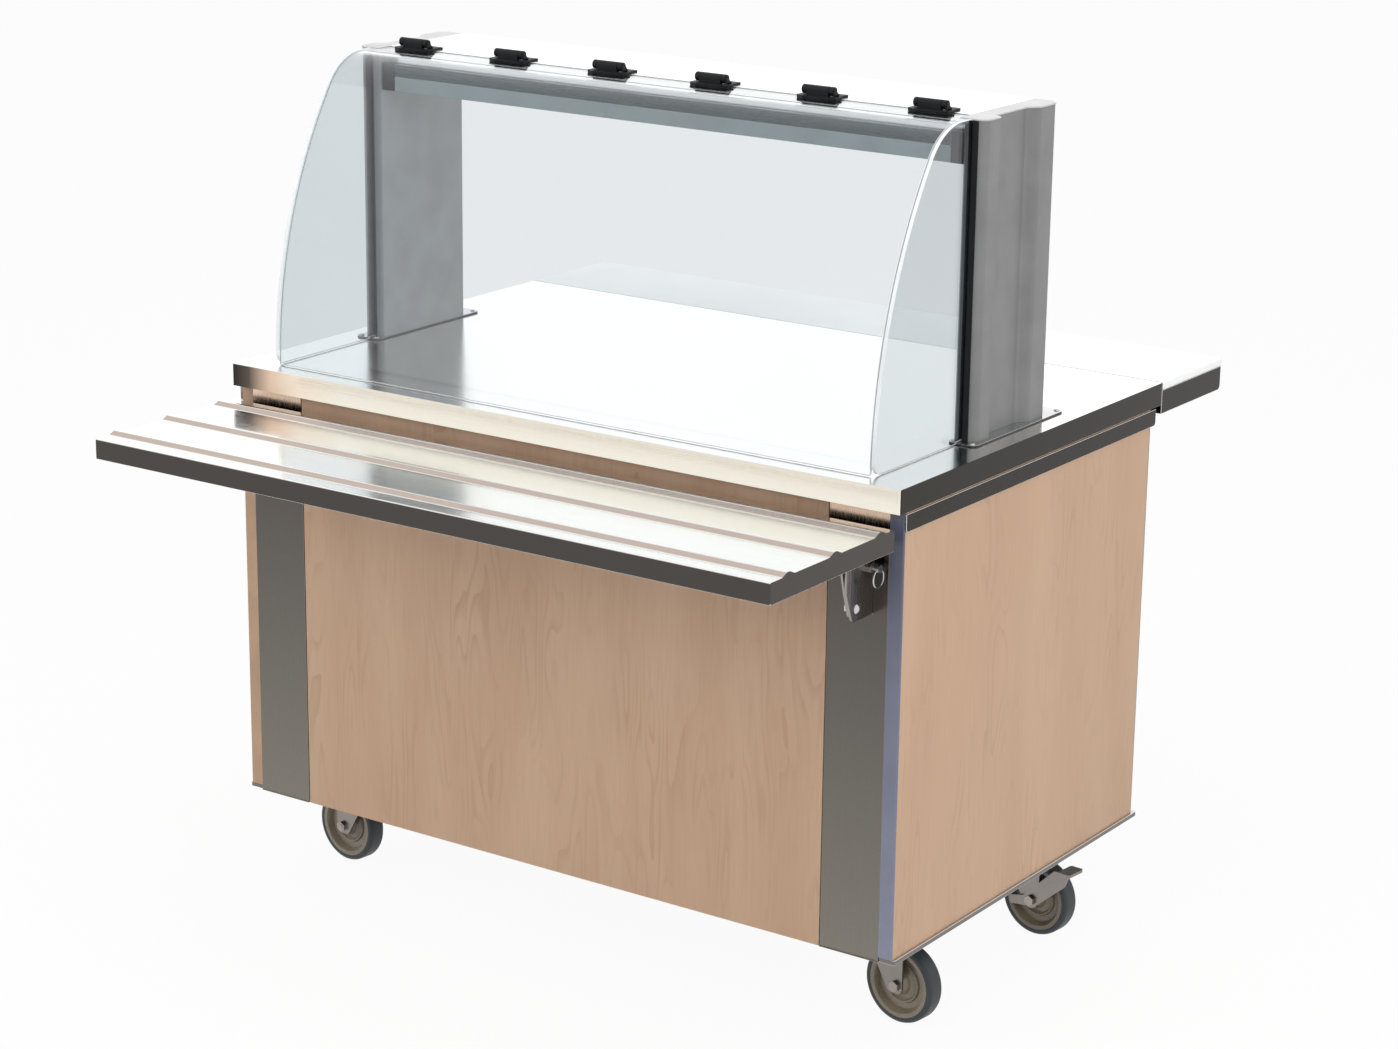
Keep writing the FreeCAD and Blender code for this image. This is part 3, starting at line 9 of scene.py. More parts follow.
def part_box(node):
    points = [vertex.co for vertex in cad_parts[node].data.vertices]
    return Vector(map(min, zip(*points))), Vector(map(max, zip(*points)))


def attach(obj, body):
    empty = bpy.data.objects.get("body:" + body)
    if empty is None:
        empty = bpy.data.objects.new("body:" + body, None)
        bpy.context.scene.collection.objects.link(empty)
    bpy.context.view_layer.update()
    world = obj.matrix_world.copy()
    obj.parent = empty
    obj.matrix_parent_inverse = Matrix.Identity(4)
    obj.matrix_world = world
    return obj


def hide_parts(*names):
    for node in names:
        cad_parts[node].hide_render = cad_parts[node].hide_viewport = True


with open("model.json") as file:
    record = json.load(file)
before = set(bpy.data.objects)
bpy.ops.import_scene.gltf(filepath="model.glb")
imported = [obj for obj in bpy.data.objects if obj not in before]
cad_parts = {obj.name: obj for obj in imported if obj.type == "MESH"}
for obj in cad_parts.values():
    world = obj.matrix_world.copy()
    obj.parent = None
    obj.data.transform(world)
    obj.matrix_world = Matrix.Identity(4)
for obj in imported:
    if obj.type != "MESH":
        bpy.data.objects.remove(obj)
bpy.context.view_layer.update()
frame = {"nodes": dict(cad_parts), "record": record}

# A mobile salad bar: sheet steel counter and tray slide, maple-faced cabinet, curved glass
# guard on grey columns, white work board and four casters. Metres; the customer's side is -Y.

MM = 0.001
scene = bpy.context.scene

# ------------------------------------------------------------------ camera

camera = bpy.data.objects.new("camera", bpy.data.cameras.new("camera"))
scene.collection.objects.link(camera)
scene.camera = camera
camera.data.sensor_width = 36.0
camera.data.lens = 86.6
forward = Vector((-0.5441, 0.7911, -0.2796)).normalized()
right = Vector((0.8219, 0.5695, 0.0121)).normalized()
up = right.cross(forward).normalized()
right = forward.cross(up)
turn = Matrix((right, up, -forward)).transposed()
camera.matrix_world = Matrix.Translation((3.0005, -4.2935, 2.1848)) @ turn.to_4x4()
camera.data.clip_end = 60.0

# ------------------------------------------------------------------ material tools


def linear(code):
    """The linear colour of an sRGB hex code."""
    channels = [int(code[i:i + 2], 16) / 255 for i in (0, 2, 4)]
    return [c / 12.92 if c <= 0.04045 else ((c + 0.055) / 1.055) ** 2.4 for c in channels] + [1.0]


def add(tree, kind, inputs=None, stops=(), **settings):
    """One node with its settings; each input is a value or the output that feeds it.

    stops are the places, 0 to 1, and the colours of a colour ramp.
    """
    node = tree.nodes.new(kind)
    for name, value in settings.items():
        setattr(node, name, value)
    for key, value in (inputs or {}).items():
        if isinstance(value, bpy.types.NodeSocket):
            tree.links.new(value, node.inputs[key])
        else:
            node.inputs[key].default_value = value
    if stops:
        elements = node.color_ramp.elements
        elements.remove(elements[1])
        elements[0].position, elements[0].color = stops[0][0], linear(stops[0][1])
        for place, code in stops[1:]:
            elements.new(place).color = linear(code)
    return node


def new_material(name, **sockets):
    """A material with one Principled shader whose constant sockets are set directly."""
    material = bpy.data.materials.new(name)
    material.use_nodes = True
    tree = material.node_tree
    tree.nodes.clear()
    constants = {socket.replace("_", " "): value for socket, value in sockets.items()}
    shader = add(tree, "ShaderNodeBsdfPrincipled", constants)
    add(tree, "ShaderNodeOutputMaterial", {"Surface": shader.outputs[0]})
    return material, tree, shader


def feed(tree, shader, **outputs):
    """Links node outputs to the shader's sockets."""
    for socket, output in outputs.items():
        tree.links.new(output, shader.inputs[socket.replace("_", " ")])


def surface_output(tree):
    """The socket that a material's shader goes into."""
    return next(n for n in tree.nodes if n.type == "OUTPUT_MATERIAL").inputs["Surface"]


def cells(size):
    """The Mapping scale that makes one cell of a pattern the given size in millimetres."""
    return [1.0 / (side * MM) for side in size]


def tone_along(tree, where, along, tones):
    """The colour that runs through the tones, given at millimetres along one object axis."""
    axes = add(tree, "ShaderNodeSeparateXYZ", {0: where.outputs["Object"]})
    first, last = tones[0][0], tones[-1][0]
    place = add(tree, "ShaderNodeMapRange",
                {"Value": axes.outputs[along], "From Min": first * MM, "From Max": last * MM})
    stops = [((at - first) / (last - first), code) for at, code in tones]
    return add(tree, "ShaderNodeValToRGB", {0: place.outputs[0]}, stops).outputs[0]


def seen_directly(tree):
    """1 for rays that see the studio straight, mirrored or through glass, 0 for its light."""
    ray = add(tree, "ShaderNodeLightPath")
    by_eye = add(tree, "ShaderNodeMath",
                 {0: ray.outputs["Is Camera Ray"], 1: ray.outputs["Is Glossy Ray"]},
                 operation="MAXIMUM")
    at_all = add(tree, "ShaderNodeMath",
                 {0: by_eye.outputs[0], 1: ray.outputs["Is Transmission Ray"]},
                 operation="MAXIMUM")
    return at_all.outputs[0]


# ------------------------------------------------------------------ materials

# Nearly all of a noise pattern's values lie between these two.
LOW, HIGH = 0.3, 0.7


def grained_metal(name, tones, along=2, grain=(90.0, 1.8, 1.8), gloss=(0.20, 0.32),
                  contrast=0.12, bright="D9D7D3"):
    """Stainless sheet, ground one way: long fine streaks, a soft mirror, painted edge light on
    folds.

    tones gives the sheet's tone at places in millimetres along one axis; where it changes, it is
    a painted reflection of what lies before the sheet. bright is painted on the rounded folds: a
    painted highlight, or painted shade where it is darker than the sheet. The real grain is finer
    than 0.2 mm;
    it is drawn about 1.8 mm across so that it shows.
    """
    material, tree, shader = new_material(name, Metallic=1.0)
    where = add(tree, "ShaderNodeTexCoord")
    # painted reflection: where the tones change along the axis, they stand for what the sheet
    # mirrors
    sheet = tone_along(tree, where, along, tones)
    lengths = add(tree, "ShaderNodeMapping",
                  {"Vector": where.outputs["Object"], "Scale": cells(grain)})
    streaks = add(tree, "ShaderNodeTexNoise",
                  {"Vector": lengths.outputs[0], "Scale": 1.0, "Detail": 5.0, "Roughness": 0.6})
    shade = add(tree, "ShaderNodeMapRange",
                {"Value": streaks.outputs[0], "From Min": LOW, "From Max": HIGH,
                 "To Min": 1.0 - contrast, "To Max": 1.0})
    tone = add(tree, "ShaderNodeVectorMath", {0: sheet, 3: shade.outputs[0]},
               operation="SCALE")
    # painted edge light: the rounded folds take the colour bright, a painted highlight
    fold = add(tree, "ShaderNodeAttribute", attribute_name="rounded")
    rubbed = add(tree, "ShaderNodeMix",
                 {0: fold.outputs["Fac"], 6: tone.outputs[0], 7: linear(bright)},
                 data_type="RGBA")
    blur = add(tree, "ShaderNodeMapRange",
               {"Value": streaks.outputs[0], "From Min": LOW, "From Max": HIGH,
                "To Min": gloss[0], "To Max": gloss[1]})
    relief = add(tree, "ShaderNodeBump", {"Height": streaks.outputs[0], "Distance": 0.008 * MM})
    feed(tree, shader, Base_Color=rubbed.outputs[2], Roughness=blur.outputs[0],
         Normal=relief.outputs[0])
    return material


def folded_pan(name, top, rib, ends, front, box, rib_height, lit_from):
    """Folded stainless pan with painted reflections: top painted bright, turned-down edges dark.

    The front edge takes a painted reflection of the bright sheet before it, from where lit_from
    says; left of that it is painted dark, as it looks past that sheet. The rib flanks carry
    painted shade. Fine grain, drawn 2 mm across so that it shows, small scuffs from plates, and a
    painted highlight along the lowest fold. Lengths are in millimetres.
    """
    grain, scuff, lit_run = (110, 2, 2), 9, 230
    low, high = box
    level = high.z - rib_height * MM
    material, tree, shader = new_material(name, Metallic=1.0)
    where = add(tree, "ShaderNodeTexCoord")
    axes = add(tree, "ShaderNodeSeparateXYZ", {0: where.outputs["Object"]})
    lengths = add(tree, "ShaderNodeMapping",
                  {"Vector": where.outputs["Object"], "Scale": cells(grain)})
    streaks = add(tree, "ShaderNodeTexNoise",
                  {"Vector": lengths.outputs[0], "Scale": 1.0, "Detail": 5.0, "Roughness": 0.6})
    scuffs = add(tree, "ShaderNodeTexNoise",
                 {"Vector": where.outputs["Object"], "Scale": 1 / (scuff * MM), "Detail": 3.0,
                  "Roughness": 0.7})
    # painted reflection along the front edge: dark at its left end, the tray's warm white further
    # on
    along = add(tree, "ShaderNodeMapRange",
                {"Value": axes.outputs[0], "From Min": lit_from * MM,
                 "From Max": (lit_from + lit_run) * MM})
    mirrored = add(tree, "ShaderNodeValToRGB", {0: along.outputs[0]}, [(0.0, ends)] + front)
    on_front = add(tree, "ShaderNodeMapRange",
                   {"Value": axes.outputs[1], "From Min": low.y + 1.2 * MM,
                    "From Max": low.y + 0.4 * MM})
    sides = add(tree, "ShaderNodeMix",
                {0: on_front.outputs[0], 6: linear(ends), 7: mirrored.outputs[0]},
                data_type="RGBA")
    # painted reflection: the top painted bright, the faces below the level painted dark
    on_top = add(tree, "ShaderNodeMapRange",
                 {"Value": axes.outputs[2], "From Min": level - 1.6 * MM,
                  "From Max": level - 0.6 * MM})
    flat = add(tree, "ShaderNodeMix",
               {0: on_top.outputs[0], 6: sides.outputs[2], 7: linear(top)}, data_type="RGBA")
    # painted shade: the rib flanks take the rib tone
    on_rib = add(tree, "ShaderNodeMapRange",
                 {"Value": axes.outputs[2], "From Min": level + 0.3 * MM,
                  "From Max": level + 1.0 * MM})
    off_rib = add(tree, "ShaderNodeMapRange",
                  {"Value": axes.outputs[2], "From Min": level + 5.3 * MM,
                   "From Max": level + 4.7 * MM})
    flank = add(tree, "ShaderNodeMath", {0: on_rib.outputs[0], 1: off_rib.outputs[0]},
                operation="MULTIPLY")
    ribbed = add(tree, "ShaderNodeMix",
                 {0: flank.outputs[0], 6: flat.outputs[2], 7: linear(rib)}, data_type="RGBA")
    # painted dark reflection on the end faces
    reach = add(tree, "ShaderNodeMath", {0: axes.outputs[0]}, operation="ABSOLUTE")
    on_end = add(tree, "ShaderNodeMapRange",
                 {"Value": reach.outputs[0], "From Min": high.x - 0.9 * MM,
                  "From Max": high.x - 0.3 * MM})
    tone = add(tree, "ShaderNodeMix",
               {0: on_end.outputs[0], 6: ribbed.outputs[2], 7: linear(ends)}, data_type="RGBA")
    shade = add(tree, "ShaderNodeMapRange",
                {"Value": streaks.outputs[0], "From Min": LOW, "From Max": HIGH,
                 "To Min": 0.94, "To Max": 1.0})
    grained = add(tree, "ShaderNodeVectorMath", {0: tone.outputs[2], 3: shade.outputs[0]},
                  operation="SCALE")
    # painted highlight: a bright line on the rounded faces of the lowest fold
    fold = add(tree, "ShaderNodeAttribute", attribute_name="rounded")
    at_foot = add(tree, "ShaderNodeMapRange",
                  {"Value": axes.outputs[2], "From Min": low.z + 3.0 * MM,
                   "From Max": low.z + 2.0 * MM})
    rub = add(tree, "ShaderNodeMath", {0: fold.outputs["Fac"], 1: at_foot.outputs[0]},
              operation="MULTIPLY")
    rubbed = add(tree, "ShaderNodeMix",
                 {0: rub.outputs[0], 6: grained.outputs[0], 7: linear("EDEBE8")},
                 data_type="RGBA")
    wear = add(tree, "ShaderNodeMath", {0: streaks.outputs[0], 1: scuffs.outputs[0]},
               operation="MULTIPLY")
    blur = add(tree, "ShaderNodeMapRange",
               {"Value": wear.outputs[0], "From Min": 0.12, "From Max": 0.42,
                "To Min": 0.15, "To Max": 0.24})
    relief = add(tree, "ShaderNodeBump", {"Height": streaks.outputs[0], "Distance": 0.006 * MM})
    feed(tree, shader, Base_Color=rubbed.outputs[2], Roughness=blur.outputs[0],
         Normal=relief.outputs[0])
    return material


def maple_laminate(name, base, pale, line, across, along):
    """High-pressure laminate with a printed maple grain: satin, soft tall growth-ring arches,
    faint fibres and short dark flecks."""
    rings_to_a_cell = 15.0
    material, tree, shader = new_material(name, Roughness=0.45, Specular_IOR_Level=0.35)
    where = add(tree, "ShaderNodeTexCoord")
    noise = {}
    # each pattern's width and height in millimetres
    for part, wide, tall in (("cloud", 130.0, 700.0), ("ring", 85.0, 520.0),
                             ("fibre", 2.6, 95.0), ("fleck", 1.9, 15.0),
                             ("patch", 120.0, 240.0)):
        cell = [30.0, 30.0, 30.0]
        cell[across] = wide
        cell[along] = tall
        place = add(tree, "ShaderNodeMapping",
                    {"Vector": where.outputs["Object"], "Scale": cells(cell)})
        noise[part] = add(tree, "ShaderNodeTexNoise",
                          {"Vector": place.outputs[0], "Scale": 1.0,
                           "Detail": 2.0 if part == "ring" else 4.0, "Roughness": 0.5,
                           "Distortion": 0.25 if part == "ring" else 0.0}).outputs[0]
    broad = add(tree, "ShaderNodeMapRange",
                {"Value": noise["cloud"], "From Min": 0.35, "From Max": 0.65})
    ground = add(tree, "ShaderNodeMix", {0: broad.outputs[0], 6: linear(base), 7: linear(pale)},
                 data_type="RGBA")
    turns = add(tree, "ShaderNodeMath", {0: noise["ring"], 1: rings_to_a_cell},
                operation="MULTIPLY")
    saw = add(tree, "ShaderNodeMath", {0: turns.outputs[0]}, operation="FRACT")
    ring = add(tree, "ShaderNodeMapRange",
               {"Value": saw.outputs[0], "From Min": 0.55, "From Max": 1.0})
    here = add(tree, "ShaderNodeMapRange",
               {"Value": noise["patch"], "From Min": 0.42, "From Max": 0.68, "To Max": 0.5})
    arches = add(tree, "ShaderNodeMath", {0: ring.outputs[0], 1: here.outputs[0]},
                 operation="MULTIPLY")
    fibres = add(tree, "ShaderNodeMapRange",
                 {"Value": noise["fibre"], "From Min": 0.45, "From Max": 0.75, "To Max": 0.22})
    flecks = add(tree, "ShaderNodeMapRange",
                 {"Value": noise["fleck"], "From Min": 0.66, "From Max": 0.74, "To Max": 0.4})
    wood = ground
    for printed in (arches, fibres, flecks):
        wood = add(tree, "ShaderNodeMix",
                   {0: printed.outputs[0], 6: wood.outputs[2], 7: linear(line)},
                   data_type="RGBA")
    relief = add(tree, "ShaderNodeBump", {"Height": noise["fibre"], "Distance": 0.02 * MM})
    feed(tree, shader, Base_Color=wood.outputs[2], Normal=relief.outputs[0])
    return material


def fine_grained(name, tones, cell, roughness, metallic=0.0, depth=0.03, coat=0.0, along=2,
                 specular=0.5, uneven=0.12):
    """A coated, drawn or moulded surface: an even tone, broken a little by its own fine grain.

    tones gives the tone at places in millimetres along one axis, or is one colour. cell is
    the grain's width and depth its height, both in millimetres.
    """
    cloud_size = 60
    material, tree, shader = new_material(name, Metallic=metallic, Coat_Weight=coat,
                                          Specular_IOR_Level=specular)
    if isinstance(tones, str):
        tones = [(0.0, tones), (1.0, tones)]
    where = add(tree, "ShaderNodeTexCoord")
    even = tone_along(tree, where, along, tones)
    grain = add(tree, "ShaderNodeTexNoise",
                {"Vector": where.outputs["Object"], "Scale": 1 / (cell * MM), "Detail": 4.0,
                 "Roughness": 0.6})
    cloud = add(tree, "ShaderNodeTexNoise",
                {"Vector": where.outputs["Object"], "Scale": 1 / (cloud_size * MM),
                 "Detail": 2.0})
    mixed = add(tree, "ShaderNodeMath", {0: grain.outputs[0], 1: cloud.outputs[0]},
                operation="MULTIPLY")
    shade = add(tree, "ShaderNodeMapRange",
                {"Value": mixed.outputs[0], "From Min": 0.15, "From Max": 0.36,
                 "To Min": 1.0 - uneven, "To Max": 1.0 + uneven / 3})
    tone = add(tree, "ShaderNodeVectorMath", {0: even, 3: shade.outputs[0]}, operation="SCALE")
    blur = add(tree, "ShaderNodeMapRange",
               {"Value": grain.outputs[0], "From Min": LOW, "From Max": HIGH,
                "To Min": roughness - 0.05, "To Max": roughness + 0.05})
    relief = add(tree, "ShaderNodeBump", {"Height": grain.outputs[0], "Distance": depth * MM})
    feed(tree, shader, Base_Color=tone.outputs[0], Roughness=blur.outputs[0],
         Normal=relief.outputs[0])
    return material


def float_glass(name, tint, other):
    """Clear tempered float glass: a faint blue-grey body, sharp faint reflections."""
    cloud_size = 260
    material, tree, shader = new_material(name, Roughness=0.0, IOR=1.5, Transmission_Weight=1.0)
    where = add(tree, "ShaderNodeTexCoord")
    cloud = add(tree, "ShaderNodeTexNoise",
                {"Vector": where.outputs["Object"], "Scale": 1 / (cloud_size * MM),
                 "Detail": 2.0})
    tone = add(tree, "ShaderNodeMix", {0: cloud.outputs[0], 6: linear(tint), 7: linear(other)},
               data_type="RGBA")
    feed(tree, shader, Base_Color=tone.outputs[2])
    clear = add(tree, "ShaderNodeBsdfTransparent", {"Color": linear("EEF3F5")})
    path = add(tree, "ShaderNodeLightPath")
    either = add(tree, "ShaderNodeMixShader",
                 {0: path.outputs["Is Shadow Ray"], 1: shader.outputs[0], 2: clear.outputs[0]})
    tree.links.new(either.outputs[0], surface_output(tree))
    return material


board_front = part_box("work_board")[0].y / MM
plate_foot, plate_top = (corner.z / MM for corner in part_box("foot_plates"))
floor_foot, floor_top = (corner.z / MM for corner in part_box("base_pan"))

# painted dark reflection: the tone of steel faces that look across the room rather than up
PAINTED_DARK_REFLECTION = "34302C"
SIDEWAYS = (1.8, 110.0, 1.8)
UPRIGHT = (1.8, 1.8, 110.0)

finishes = {
    # painted reflections: bright on top; the fascia painted dark at its left end, where it looks
    # past the tray, and warm white further on, where it mirrors the tray; the ends painted dark
    "steel_top": folded_pan(
        "ground stainless counter", "FBFAF8", "FBFAF8", PAINTED_DARK_REFLECTION,
        [(0.14, "5E554F"), (0.34, "E6C8B0"), (0.6, "FFF1E0"), (1.0, "FFFDF2")],
        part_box("counter_top"), 0.0, -632.0),
    # painted light: bright flats, painted shade on the tan rib flanks, a front edge and ends
    # painted dark
    "steel_tray": folded_pan(
        "ground stainless tray slide", "FBF8F3", "C9BAB0", "504C49", [(1.0, "504C49")],
        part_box("tray_slide"), 5.5, -628.0),
    "steel_sheet": grained_metal(
        "ground stainless sheet", [(0.0, "C8C6C2"), (900.0, "C8C6C2")]),
    # a rim painted darker under a brighter floor, painted reflection
    "steel_floor": grained_metal(
        "ground stainless floor pan",
        [(floor_foot, "7C7874"), (floor_top - 0.6, "7C7874"), (floor_top - 0.3, "C8C6C2"),
         (floor_top, "C8C6C2")], grain=SIDEWAYS, contrast=0.08),
    # darker upwards, painted shade towards the tray, then warm and bright at its head, a painted
    # reflection of the tray
    "steel_strip": grained_metal(
        "mill stainless channel",
        [(170.0, "827E76"), (560.0, "6A6661"), (800.0, "58534F"), (838.0, "58534F"),
         (842.0, "E6CDB9"), (866.0, "E6CDB9")],
        grain=UPRIGHT, contrast=0.05, bright="8F8A84"),
    # thick mill sheet and tube: dull, with a weak grain
    "steel_arm": grained_metal(
        "mill stainless arm", [(690.0, "A39D98"), (845.0, "A39D98")],
        grain=UPRIGHT, contrast=0.06, bright="8A857F"),
    # the rail is painted dark, darker upwards: a painted reflection
    "steel_rail": grained_metal(
        "mill stainless rail", [(0.0, "5B5754"), (700.0, PAINTED_DARK_REFLECTION), (900.0, PAINTED_DARK_REFLECTION)],
        grain=SIDEWAYS, contrast=0.06),
    "steel_frame": grained_metal(
        "mill stainless tube", [(0.0, "6E6C69"), (900.0, "6E6C69")]),
    # nearly even, it mirrors the white studio
    "canopy": grained_metal(
        "ground stainless canopy", [(0.0, "FAFAF9"), (1400.0, "FAFAF9")],
        contrast=0.04, gloss=(0.14, 0.22)),
    # dark blue-grey, a painted reflection of the shade under the canopy, with painted highlights
    # on the folds
    "beam": grained_metal(
        "mill stainless beam", [(0.0, "454F53"), (1400.0, "4A565A")],
        contrast=0.05, bright="A9B5B8"),
    # a mirror-bright face over an edge painted dark, a painted reflection
    "polished": fine_grained(
        "polished stainless plate",
        [(plate_foot, "4A4541"), (plate_top - 0.7, "4A4541"), (plate_top - 0.4, "C9CBCD"),
         (plate_top, "C9CBCD")], 2.0, 0.10, 1.0),
    "front_maple": maple_laminate(
        "maple laminate front", "C09F84", "C8A88D", "A5836A", 0, 2),
    "end_maple": maple_laminate(
        "maple laminate end", "C2A084", "C9A88C", "AE8C71", 1, 2),
    # extruded plastic bands: satin, the grey one darker upwards
    "maple_band": fine_grained("maple edge band", "B8977B", 1.6, 0.45),
    "grey_band": fine_grained(
        "grey edge band", [(180.0, "82869A"), (520.0, "767A8E"), (860.0, "5E6274")], 1.4, 0.36),
    # waxy white with a fine pebbled skin; its front edge painted grey, a painted shadow line in
    # the seam against the counter
    "board": fine_grained(
        "white polyethylene board",
        [(board_front, "8A8C8C"), (board_front + 1.0, "8A8C8C"), (board_front + 1.8, "FBFCFC"),
         (board_front + 20.0, "FBFCFC")], 1.2, 0.5, depth=0.05, along=1, uneven=0.03),
    # satin pale grey; the outer part painted darker, painted shade
    "column": fine_grained(
        "anodised grey extrusion",
        [(-609.0, "858585"), (-552.5, "858585"), (-551.0, "BEC1C2"), (551.0, "BEC1C2"),
         (552.5, "858585"), (609.0, "858585")], 1.5, 0.36, 0.3, along=0),
    # moulded plastic and rubber: soft highlights on a faint pebbled skin
    "cap": fine_grained("light grey cap", "C9C9C9", 1.5, 0.4),
    "seal": fine_grained("black rubber seal", "15181A", 1.2, 0.6),
    "shoe": fine_grained("black end shoe", "1A1C1E", 1.5, 0.5),
    # satin paint on the housing, a matt white lens, gritty black paint on the castings
    "housing": fine_grained("grey painted housing", "A8B1B3", 1.5, 0.42),
    "lens": fine_grained("frosted lens", "F2F2EE", 1.0, 0.6),
    "clamp": fine_grained("black painted casting", "151618", 1.1, 0.5, depth=0.06, specular=0.25),
    # zinc: bright on bolts and pins, clouded and dull on the pressed caster parts
    "plated": fine_grained("bright zinc plate", "CFCFCC", 1.4, 0.2, 1.0),
    "zinc": fine_grained("dull zinc plate", "918B87", 2.2, 0.32, 1.0),
    "bolt": fine_grained("zinc plated axle bolt", "A59B95", 1.2, 0.24, 1.0),
    # caster wheels: glossy tan nylon, dark grey rubber
    "hub": fine_grained("moulded nylon hub", "857A68", 1.6, 0.28, coat=0.3),
    "tyre": fine_grained("grey rubber tyre", "32383B", 1.5, 0.5),
    # clear panes, the right end pane greyer, with pale matt ground edges
    "glass": float_glass("clear tempered glass", "E4E9EC", "E8ECEE"),
    "glass_grey": float_glass("clear tempered end glass", "C4CBCE", "CAD1D4"),
    "glass_edge": fine_grained("ground glass edge", "EAEEF0", 1.0, 0.35),
}

# ------------------------------------------------------------------ pieces

WELD = 0.00001
FLAT = math.radians(0.4)
WHEEL_STEPS = 96


def merged_copy(node):
    """A copy of a CAD node's mesh with its triangles joined into whole faces."""
    bm = bmesh.new()
    bm.from_mesh(frame["nodes"][node].data)
    bmesh.ops.remove_doubles(bm, verts=bm.verts, dist=WELD)
    bmesh.ops.dissolve_limit(bm, angle_limit=FLAT, verts=bm.verts, edges=bm.edges)
    return bm


def soften(bm, width, above=35.0):
    """Rounds every edge that turns by more than the given angle, and marks the new faces."""
    mark = bm.faces.layers.float.new("rounded")
    limit = math.radians(above)
    edges = [e for e in bm.edges if len(e.link_faces) == 2 and e.calc_face_angle(0.0) > limit]
    made = bmesh.ops.bevel(bm, geom=edges, offset=width, offset_type="OFFSET", affect="EDGES",
                           segments=2, profile=0.5, material=-1, clamp_overlap=True)
    for face in made["faces"]:
        face[mark] = 1.0


def grind_edges(bm, node):
    """Gives a glass pane's cut edges their own ground finish, the second material."""
    low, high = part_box(node)
    foot, head = low.z + 1.0 * MM, high.y - 1.0 * MM
    for face in bm.faces:
        across, middle = abs(face.normal.x), face.calc_center_median()
        if node.startswith("end"):
            cut = across < 0.99
        else:
            cut = across > 0.1 or middle.z < foot or middle.y > head
        face.material_index = 1 if cut else 0


def finished(mesh_name, bm, body, finish, replaced, smooth=60.0):
    """Makes a bmesh a piece that rides on a body, flat faces flat and rounded ones smooth."""
    mesh = bpy.data.meshes.new(mesh_name)
    bm.to_mesh(mesh)
    bm.free()
    mesh.shade_smooth()
    mesh.set_sharp_from_angle(angle=math.radians(smooth))
    piece = bpy.data.objects.new(mesh_name, mesh)
    scene.collection.objects.link(piece)
    for name in finish.split("+"):
        mesh.materials.append(finishes[name])
    weighted = piece.modifiers.new("flat faces stay flat", "WEIGHTED_NORMAL")
    weighted.keep_sharp = True
    weighted.weight = 100
    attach(piece, body)
    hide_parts(*replaced)


behaviour = frame["record"]["behaviour"]
body_of = {node: body for body, nodes in behaviour["bodies"].items() for node in nodes}
CORNERS = ("front_left", "front_right", "rear_left", "rear_right")

# node, finish, rounding in millimetres
dressed = [
    ("counter_top", "steel_top", 1.2),
    ("top_frame", "steel_frame", 0.8),
    ("front_panel", "front_maple", 0.5),
    ("front_strip_left", "steel_strip", 0.5),
    ("front_strip_right", "steel_strip", 0.5),
    ("end_panel_left", "end_maple", 0.4),
    ("end_panel_right", "end_maple", 0.4),
    ("edge_trims_left", "maple_band", 0.4),
    ("edge_trims_right", "grey_band", 0.4),
    ("end_top_rails", "steel_rail", 0.8),
    ("base_pan", "steel_floor", 0.8),
    ("caster_strips", "steel_frame", 0.6),
    ("middle_shelf", "steel_sheet", 0.5),
    ("shelf_clips", "steel_frame", 0.6),
    ("tray_brackets", "steel_arm", 0.6),
    ("tray_pivot_bolts", "plated", 0.4),
    ("work_board", "board", 1.5),
    ("board_brackets", "steel_rail", 0.8),
    ("column_left", "column", 0.6),
    ("column_right", "column", 0.6),
    ("column_gaskets", "seal", 0.3),
    ("column_caps", "cap", 0.5),
    ("foot_plates", "polished", 0.6),
    ("foot_screws", "plated", 0.4),
    ("canopy_shelf", "canopy", 0.6),
    ("canopy_beam", "beam", 0.8),
    ("beam_shoes", "shoe", 0.8),
    ("light_housing", "housing", 0.5),
    ("light_lens", "lens", 0.5),
    ("end_glass_left", "glass+glass_edge", 0.6),
    ("end_glass_right", "glass_grey+glass_edge", 0.6),
    ("hinge_leaves", "clamp", 0.8),
    ("hinge_pins", "clamp", 0.4),
    ("caster_mounts", "zinc", 0.7),
    ("caster_bolts", "plated", 0.4),
    ("tray_slide", "steel_tray", 0.5),
    ("tray_arms", "steel_arm", 0.5),
    ("lock_pin_left", "plated", 0.3),
    ("lock_pin_right", "plated", 0.3),
    ("front_glass", "glass+glass_edge", 0.6),
    ("clamp_upper_jaws", "clamp", 0.8),
    ("clamp_lower_jaws", "clamp", 0.8),
]
for corner in CORNERS:
    dressed += [("fork_" + corner, "zinc", 0.7), ("axle_bolt_" + corner, "bolt", 0.5)]
    if corner.startswith("rear"):
        dressed.append(("brake_lever_" + corner, "zinc", 0.7))

for node, finish, rounding in dressed:
    shape = merged_copy(node)
    soften(shape, rounding * MM)
    if "glass_edge" in finish:
        grind_edges(shape, node)
    finished(node + "_finished", shape, body_of[node], finish, [node])


def turned(node, axle, half_profile):
    """A wheel part turned about its axle from half its section, given in millimetres."""
    middle, along = Vector(axle["pos_m"]), Vector(axle["axis"])
    reach = (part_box(node)[1].z - middle.z) / half_profile[-1][0]
    profile = half_profile + [(radius, -side) for radius, side in reversed(half_profile)]
    bm = bmesh.new()
    section = [bm.verts.new(middle + Vector((0.0, 0.0, radius * reach)) + along * side * MM)
               for radius, side in profile]
    outline = [bm.edges.new((section[i - 1], section[i])) for i in range(len(section))]
    bmesh.ops.spin(bm, geom=section + outline, cent=middle, axis=along, angle=math.tau,
                   steps=WHEEL_STEPS, use_merge=True)
    bmesh.ops.recalc_face_normals(bm, faces=bm.faces)
    return bm


